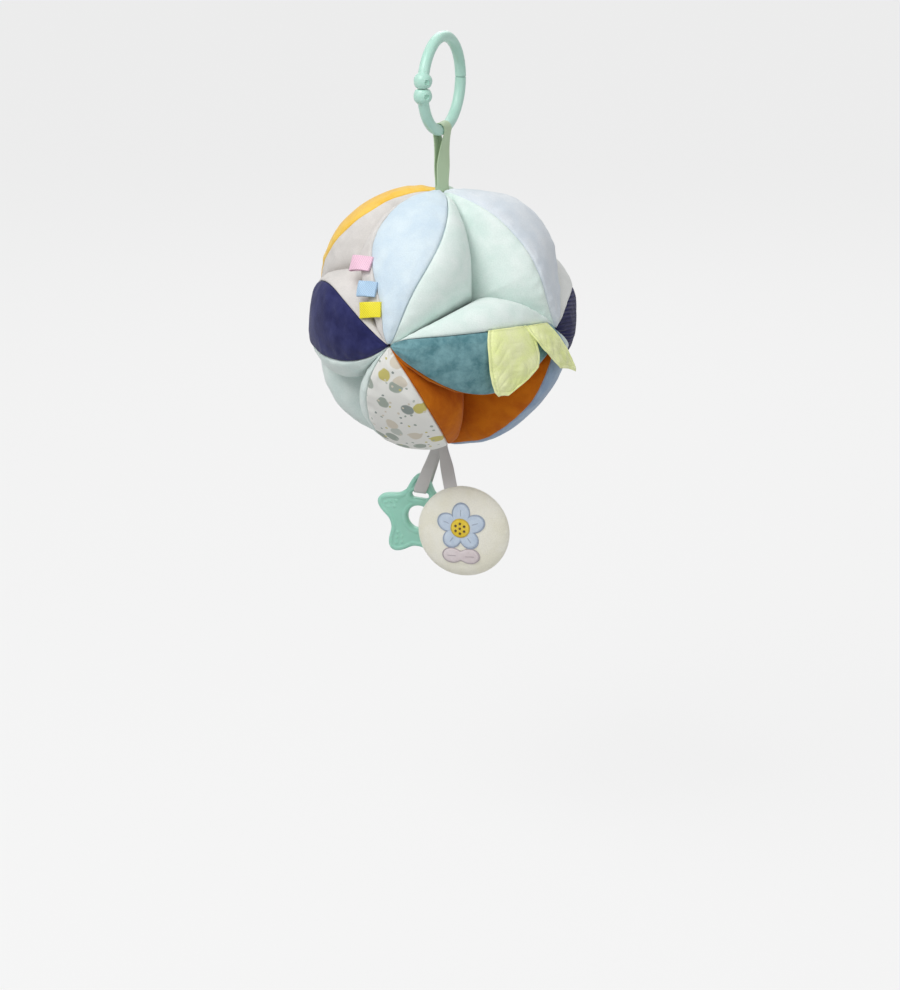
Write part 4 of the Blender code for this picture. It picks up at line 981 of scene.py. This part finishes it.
def star_height(flat, to_rim):
    """Half thickness: rounded edges, a raised border, a slightly sunk face, and pips on four points."""
    to_edge = max(min(to_rim, slot_distance(flat), flat.length - STAR_HOLE), 0)
    if to_edge < STAR_ROUND:
        height = STAR_HALF - STAR_ROUND + math.sqrt(STAR_ROUND ** 2 - (STAR_ROUND - to_edge) ** 2)
    else:
        height = STAR_HALF
    height -= STAR_SINK * blend_share(0.0024, 0.0036, to_edge)
    for point in range(1, 5):
        for step, pip in enumerate(STAR_PIPS):
            turned = Matrix.Rotation(-point * math.tau / 5, 2) @ Vector((pip[1], pip[0]))
            height += PIP_HEIGHT * math.exp(-((flat - turned).length / (0.0007 + 0.0001 * step)) ** 4)
    return height


star_shape = bmesh.new()
for vert, (turn_share, around_share) in laid_grid(star_shape, 420, 92).items():
    turn, around = math.tau * turn_share, math.tau * around_share
    share = 0.5 + 0.5 * math.cos(around)
    rim = star_radius(turn)
    slant = (star_radius(turn + 0.01) - star_radius(turn - 0.01)) / (0.02 * rim)
    radius = STAR_HOLE + (rim - STAR_HOLE) * share
    flat = Vector((radius * math.sin(turn), radius * math.cos(turn)))
    height = star_height(flat, (rim - radius) / math.sqrt(1 + slant ** 2))
    flatness = min(abs(math.sin(around)) / math.sin(math.tau / 92), 1)
    vert.co = star_frame @ Vector((flat.x, flat.y, height * math.copysign(flatness, math.sin(around))))
close_up(star_shape)

silicone = moulded("mint silicone", (156, 214, 194), (144, 205, 184), (170, 224, 206), 70, 1100,
                   (0.3, 0.00008), (0.34, 0.52), Subsurface_Weight=0.3,
                   Subsurface_Radius=(0.003, 0.005, 0.0042), Coat_Weight=0.08)
star = add_piece("star_teether", star_shape, silicone, "mint_silicone", ["teether_star"], "teether")
slot_shape = bmesh.new()
bmesh.ops.create_circle(slot_shape, segments=40, radius=SLOT_HEIGHT / 2)
for vert in slot_shape.verts:
    vert.co.x += math.copysign(SLOT_ROUND_AT, vert.co.x)
    vert.co += Vector((0, SLOT_RADIUS, -2 * STAR_HALF))
rim_face = bmesh.ops.holes_fill(slot_shape, edges=slot_shape.edges, sides=0)["faces"]
raised = bmesh.ops.extrude_face_region(slot_shape, geom=rim_face)["geom"]
raised = [part for part in raised if isinstance(part, bmesh.types.BMVert)]
bmesh.ops.translate(slot_shape, vec=(0, 0, 4 * STAR_HALF), verts=raised)
bmesh.ops.transform(slot_shape, matrix=star_frame, verts=slot_shape.verts)
bmesh.ops.recalc_face_normals(slot_shape, faces=slot_shape.faces)
cut_away(star, slot_shape)


# Disc ribbon. The same grey satin ribbon, laid double, from the ball's lowest point to the seam of
# the round disc, where its two ends are sewn in.
DISC_RADIUS = 0.0303
DISC_HALF = 0.0088
DISC_ROOT = Vector((0.0010, -0.0013, -0.2605))
DISC_HANG = math.radians(17)
DISC_MIDDLE = Vector((0.0198, -0.0100, -0.3136))
DISC_TURN = math.radians(10)
disc_turned = Matrix.Translation(DISC_MIDDLE) @ Matrix.Rotation(DISC_TURN, 4, "Z")
disc_frame = disc_turned @ Matrix.Rotation(QUARTER, 4, "X")
disc_end = disc_frame @ Vector((-math.sin(DISC_HANG) * DISC_RADIUS, math.cos(DISC_HANG) * DISC_RADIUS, 0))
disc_end_axis = (disc_frame.to_3x3() @ Vector((math.cos(DISC_HANG), math.sin(DISC_HANG), 0))).normalized()
disc_axis = disc_frame.to_3x3() @ Vector((0, 0, 1))
disc_down = (disc_end - DISC_ROOT).normalized()


def disc_ribbon_place(along, side):
    """Down one layer and up the other. Each layer bows away from the other a little."""
    half = min(along, 1 - along) * 2
    distance = -0.006 + (0.007 + (disc_end - DISC_ROOT).length) * half
    share = distance / (disc_end - DISC_ROOT).length
    width = GREY_SEWN_WIDTH + (GREY_WIDTH - GREY_SEWN_WIDTH) * blend_share(0.05, 0.6, share)
    axis = RIGHT.lerp(disc_end_axis, clamped(share)).normalized()
    forwards = axis.cross(disc_down).normalized()
    bow = math.sin(math.pi * clamped(share))
    apart = 0.00036 + 0.00042 * bow - 0.0002 * blend_share(0.97, 1, half)
    turned = math.cos(math.pi * blend_share(0.485, 0.515, along))
    ripple = 0.0004 * math.sin(5 * share + 2 * side) * bow
    middle = DISC_ROOT + (UP * -distance if distance < 0 else disc_down * distance)
    return middle + axis * side * width + forwards * (apart * turned + ripple)


disc_ribbon = add_piece("disc_ribbon_piece", ribbon(120, GREY_WIDTH, GREY_LAYER, disc_ribbon_place),
                        grey_satin, "grey_ribbon", ["disc_ribbon", "disc_sewn_end"], None)
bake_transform(disc_ribbon)


# Disc. Two rounds of cream velour sewn face to face and turned out over wadding, with a small rattle
# capsule inside. Its seam is a puckered groove round the rim.
def disc_height(radius):
    """How far a cover stands out from the disc's middle plane."""
    share = min(radius / DISC_RADIUS, 1)
    return DISC_HALF * math.sqrt(max(1 - share ** 2.4, 0))


def disc_lump(flat, side):
    """The wadding's soft unevenness, and the gathers at the seam."""
    rim_share = flat.length / DISC_RADIUS
    turn = math.atan2(flat.y, flat.x)
    lump = noise.noise(Vector((flat.x * 62, flat.y * 62, side * 2.7))) * 0.0006 * (1 - rim_share ** 6)
    gather = noise.noise(Vector((math.cos(turn) * 9, math.sin(turn) * 9, side * 5.1)))
    gather += 0.5 * math.sin(46 * turn + 3 * math.sin(5 * turn))
    near_rim = bell(1 - rim_share, 0.075) * min((1 - rim_share) / 0.03, 1)
    return lump - gather * 0.00045 * near_rim


def polar_sheet(around_steps, out_steps, place):
    """A round sheet from a grid, closed at its middle. place(turn, share) gives each point."""
    shape = bmesh.new()
    for vert, (around, out) in laid_grid(shape, around_steps, out_steps).items():
        vert.co = place(math.tau * around, out)
    close_up(shape)
    return shape


cream = pile_cloth("cream velour", (243, 240, 222), (249, 247, 235), 50, 1500, 0.3, 0.0004)


def disc_cover(name, side, nodes):
    """One cover, domed over its wadding. Its rim is tucked in at the seam."""
    def place(turn, share):
        radius_share = math.sin(min(share, 0.96) / 0.96 * QUARTER)
        flat = Vector((math.cos(turn), math.sin(turn))) * DISC_RADIUS * radius_share
        height = disc_height(flat.length) + disc_lump(flat, side)
        if share > 0.96:
            tuck = (share - 0.96) / 0.04
            flat *= 1 - 0.06 * tuck
            height = 0.00005
        return disc_frame @ Vector((flat.x, flat.y, side * max(height, 0.00005)))

    shape = polar_sheet(220, 60, place)
    turn_out(shape, lambda place: disc_axis * side)
    piece = add_piece(name, shape, cream, "cream_velour", nodes, "disc", 1)


disc_cover("disc_front", 1, ["disc_front_cover", "disc_front_wadding"])
disc_cover("disc_back", -1, ["disc_back_cover", "disc_back_wadding"])


# Flower on the disc. Petals, centre and leaves are felt patches laid on the cover, each held by a
# close satin-stitched edging. The centre has a ring of brown knots, as a flower has its stamens.
FLOWER_MIDDLE = Vector((0, 0.0050))
FLOWER_REACH = 0.0160
FLOWER_NOTCH = 0.0088
CENTRE_RADIUS = 0.0060
LEAF_REACH = 0.0122
LEAF_HALF = 0.0032
PATCH_DEPTH = 0.0011
THREAD_RADIUS = 0.00045
VEIN_RADIUS = 0.00030
KNOT_RADIUS = 0.00085
KNOT_RING = 0.0033


def on_disc(flat, lift):
    """A place above the disc's front, from its place in the disc's own plane."""
    return disc_frame @ Vector((flat.x, flat.y, disc_height(flat.length) + disc_lump(flat, 1) + lift))


def felt_cloth(name, colour, brushed):
    return pile_cloth(name, colour, brushed, 160, 2200, 0.5, 0.00025, 0.2)


def thread_material(name, colour):
    """Satin stitch: fine glossy threads side by side across the edging, with painted shade in the dips
    between them and a little painted light on their tops.
    """
    colour = screen_colour(*colour)
    material, tree, shader = new_material(name, colour, 0.45, Sheen_Weight=0.3)
    uv = node(tree, "UVMap", uv_map="cloth")
    threads = node(tree, "TexWave", bands_direction="X", Scale=1150, Distortion=1.2, Detail=2,
                   Vector=(uv, "UV"))
    # Painted shade between the threads, from the same bands as their bump.
    shade = node(tree, "MapRange", To_Min=0.62, To_Max=1.12, Value=(threads, "Fac"))
    tint = multiplied(tree, colour, (shade, "Result"))
    bump = node(tree, "Bump", Strength=0.7, Distance=0.00012, Height=(threads, "Fac"))
    set_up(shader, Base_Color=(tint, "Result"), Normal=(bump, "Normal"))
    return material


def felt_patch(name, outline, base, material, slot, nodes, steps):
    """A thin patch inside an outline, which meets the cover all round. outline(turn) is flat."""
    middle = outline(0) * 0
    for i in range(8):
        middle = middle + outline(math.tau * i / 8) / 8

    def place(turn, share):
        flat = middle.lerp(outline(turn), share)
        return on_disc(flat, base + PATCH_DEPTH * (1 - share ** 8) ** 0.5 - (0.0003 if share == 1 else 0))

    shape = polar_sheet(steps, 18, place)
    turn_out(shape, lambda place: disc_axis)
    bmesh.ops.holes_fill(shape, edges=open_edges(shape), sides=0)
    return add_piece(name, shape, material, slot, nodes, "disc")


def stitched_line(name, line, radius, base, material, slot, closed):
    """A raised line of satin stitch that follows the disc's front along a flat line."""
    count = len(line)
    shape = bmesh.new()
    run = [0]
    for first, second in zip(line, line[1:] + line[:1]):
        run.append(run[-1] + (second - first).length)
    steps = count if closed else count - 1
    cloth_places = {}
    for vert, (along, round_share) in laid_grid(shape, steps, 10).items():
        step, around = round(along * steps), math.tau * round_share
        cloth_places[vert] = (run[step], around * radius)
        here = line[step % count]
        after = line[(step + 1) % count] if closed else line[min(step + 1, count - 1)]
        before = line[step - 1] if closed or step else line[0]
        aside = (after - before).normalized().orthogonal()
        end = 1 if closed else min(min(step, steps - step) / 3, 1) ** 0.5
        grown = radius * max(end, 0.05) * (1 + 0.05 * math.sin(step * 2.3))
        flat = here + aside * math.cos(around) * grown
        vert.co = on_disc(flat, base + math.sin(around) * grown * 0.8)
    map_cloth(shape, cloth_places)
    close_up(shape, ends=not closed)
    return add_piece(name, shape, material, slot, (), "disc")


def clock_way(turn):
    """The flat way at a turn clockwise from straight up."""
    return Vector((math.sin(turn), math.cos(turn)))


def petal_outline(turn):
    reach = FLOWER_NOTCH + (FLOWER_REACH - FLOWER_NOTCH) * abs(math.cos(2.5 * turn)) ** 0.8
    return FLOWER_MIDDLE + clock_way(turn) * reach


def centre_outline(turn):
    return FLOWER_MIDDLE + clock_way(turn) * CENTRE_RADIUS


leaves_middle = FLOWER_MIDDLE - Vector((0, FLOWER_REACH + LEAF_HALF + 0.0002))


def leaves_outline(turn):
    reach = LEAF_HALF + (LEAF_REACH - LEAF_HALF) * abs(math.cos(turn)) ** 2.5
    return leaves_middle + Vector((math.cos(turn), math.sin(turn))) * reach


pale_blue_felt = felt_cloth("pale blue felt", (196, 212, 232), (210, 224, 240))
yellow_felt = felt_cloth("yellow felt", (240, 206, 66), (246, 220, 96))
lilac_felt = felt_cloth("lilac grey felt", (222, 210, 212), (232, 222, 224))
pale_blue_thread = thread_material("pale blue thread", (176, 190, 212))
yellow_thread = thread_material("yellow thread", (232, 196, 54))
lilac_thread = thread_material("lilac grey thread", (198, 186, 190))
brown_thread = thread_material("brown thread", (104, 78, 22))
for patch, outline, base, felt, thread, slot, steps in (
        ("petals", petal_outline, 0, pale_blue_felt, pale_blue_thread, "pale_blue_felt", 320),
        ("leaves", leaves_outline, 0, lilac_felt, lilac_thread, "lilac_felt", 240),
        ("centre", centre_outline, PATCH_DEPTH, yellow_felt, yellow_thread, "yellow_felt", 120)):
    felt_patch("flower_" + patch + "_patch", outline, base, felt, slot, ["flower_" + patch], steps)
    edge_line = [outline(math.tau * i / steps) for i in range(steps)]
    stitched_line("flower_" + patch + "_edging", edge_line, THREAD_RADIUS, base + 0.0002, thread, slot, True)
knots = bmesh.new()
map_layer = knots.loops.layers.uv.new("cloth")
for knot in range(7):
    flat = FLOWER_MIDDLE + clock_way(math.tau * knot / 6) * (KNOT_RING if knot < 6 else 0)
    knot_at = Matrix.Translation(on_disc(flat, 2 * PATCH_DEPTH + 0.0001)) @ disc_frame.to_3x3().to_4x4()
    flattened = Matrix.Diagonal((1, 1, 0.7, 1))
    bmesh.ops.create_uvsphere(knots, u_segments=20, v_segments=12, radius=KNOT_RADIUS,
                              matrix=knot_at @ flattened, calc_uvs=True)
for face in knots.faces:
    for loop in face.loops:
        loop[map_layer].uv *= 4 * KNOT_RADIUS
add_piece("centre_knots", knots, brown_thread, "yellow_felt", (), "disc")
for petal in range(5):
    ray = clock_way(math.tau * petal / 5)
    vein = [FLOWER_MIDDLE + ray * (0.0076 + 0.0046 * i / 16) for i in range(17)]
    stitched_line(f"petal_stitches_{petal + 1}", vein, VEIN_RADIUS, PATCH_DEPTH - 0.0001, pale_blue_thread,
                  "pale_blue_felt", False)
for side in (-1, 1):
    vein = [leaves_middle + Vector((side * (0.0026 + 0.0066 * i / 20), 0)) for i in range(21)]
    stitched_line("leaf_stitches_" + ("right" if side > 0 else "left"), vein, VEIN_RADIUS,
                  PATCH_DEPTH - 0.0001, lilac_thread, "lilac_felt", False)


# Rattle capsule and beads. A small clear grey capsule of polypropylene, pressed shut round loose
# beads, and held in the disc's wadding. It can't be seen, and its CAD shape is used as it is.
def clear_plastic(name, dark, light, roughness):
    """Thin plastic, cloudy all through, with a faint swell of its surface."""
    material, tree, shader = new_material(name, screen_colour(*light), roughness)
    place = node(tree, "TexCoord")
    cloudy = node(tree, "TexNoise", Scale=260, Detail=3, Vector=(place, "Object"))
    skin = node(tree, "Bump", Strength=0.2, Distance=0.00005, Height=(cloudy, "Fac"))
    tone = tone_ramp(tree, cloudy, dark, light)
    set_up(shader, Base_Color=(tone, "Color"), Normal=(skin, "Normal"))
    return material


capsule = clear_plastic("capsule plastic", (176, 180, 184), (200, 204, 208), 0.35)
bead = clear_plastic("bead plastic", (226, 224, 216), (240, 238, 232), 0.25)
for name, plastic_used in (("rattle_cup", capsule), ("rattle_lid", capsule), ("rattle_bead_1", bead),
                           ("rattle_bead_2", bead), ("rattle_bead_3", bead)):
    for held in bpy.data.objects[name].material_slots:
        held.material = plastic_used


# Studio. A plain pale floor well below the toy, a large soft light on either side and one above,
# and a camera at the photograph's viewing angle.
FLOOR_LEVEL = Matrix.Translation((0, 0, -0.55))
FLOOR_REACH = 60
CAMERA_DISTANCE = 1.8
floor_shape = bmesh.new()
bmesh.ops.create_grid(floor_shape, x_segments=1, y_segments=1, size=FLOOR_REACH, matrix=FLOOR_LEVEL)
floor = new_object("floor", floor_shape)


def seen_rays(tree):
    """A node that is 1 for the rays of the camera, also by mirror or through glass, else 0."""
    rays = node(tree, "LightPath")
    seen = node(tree, "Math", operation="MAXIMUM", _0=(rays, "Is Camera Ray"), _1=(rays, "Is Glossy Ray"))
    return node(tree, "Math", operation="MAXIMUM", _0=(seen, "Value"), _1=(rays, "Is Transmission Ray"))


floor_material, tree, shader = new_material("pale floor", (0.60, 0.60, 0.60, 1), 0.9)
part_seen = node(tree, "Math", operation="MULTIPLY", _0=(seen_rays(tree), "Value"), _1=0.78)
white_floor = node(tree, "Emission", Color=WHITE, Strength=1)
joined = node(tree, "MixShader", Fac=(part_seen, "Value"), _1=(shader, "BSDF"), _2=(white_floor, "Emission"))
set_up(tree.nodes["Material Output"], Surface=(joined, "Shader"))
floor.data.materials.append(floor_material)

world = bpy.data.worlds.new("studio")
bpy.context.scene.world = world
world.use_nodes = True
tree = world.node_tree
room = tree.nodes["Background"]
set_up(room, Color=WHITE, Strength=0.38)
backdrop = node(tree, "Background", Color=WHITE, Strength=0.84)
joined = node(tree, "MixShader", Fac=(seen_rays(tree), "Value"), _1=(room, "Background"),
              _2=(backdrop, "Background"))
set_up(tree.nodes["World Output"], Surface=(joined, "Shader"))


def studio_light(name, direction, distance, size, power):
    """A square soft light that faces the toy."""
    lamp = bpy.data.lights.new(name, "AREA")
    lamp.size = size
    lamp.energy = power
    holder = new_object(name, lamp)
    holder.location = BALL_CENTRE + Vector(direction).normalized() * distance
    holder.rotation_euler = (BALL_CENTRE - holder.location).to_track_quat("-Z", "Y").to_euler()


studio_light("key light", (-0.35, -0.95, 1.25), 1.6, 1.0, 18)
studio_light("fill light", (1.3, -0.7, 0.35), 1.8, 1.3, 6)
studio_light("back light", (-0.4, 1.2, 0.9), 1.8, 1.2, 9)

azimuth, elevation = math.radians(24), math.radians(14)
to_right = Vector((math.cos(azimuth), math.sin(azimuth), 0))
level = Vector((math.sin(azimuth), -math.cos(azimuth), 0))
towards = level * math.cos(elevation) + UP * math.sin(elevation)
screen_up = towards.cross(to_right)
lens = bpy.data.cameras.new("camera")
lens.lens = 102.2
lens.sensor_width = 36
camera = new_object("camera", lens)
camera.location = BALL_CENTRE + towards * CAMERA_DISTANCE
aim = BALL_CENTRE + to_right * 0.005 - screen_up * 0.114
camera.rotation_euler = (aim - camera.location).to_track_quat("-Z", "Y").to_euler()
bpy.context.scene.camera = camera
bpy.context.scene.view_settings.view_transform = "Standard"
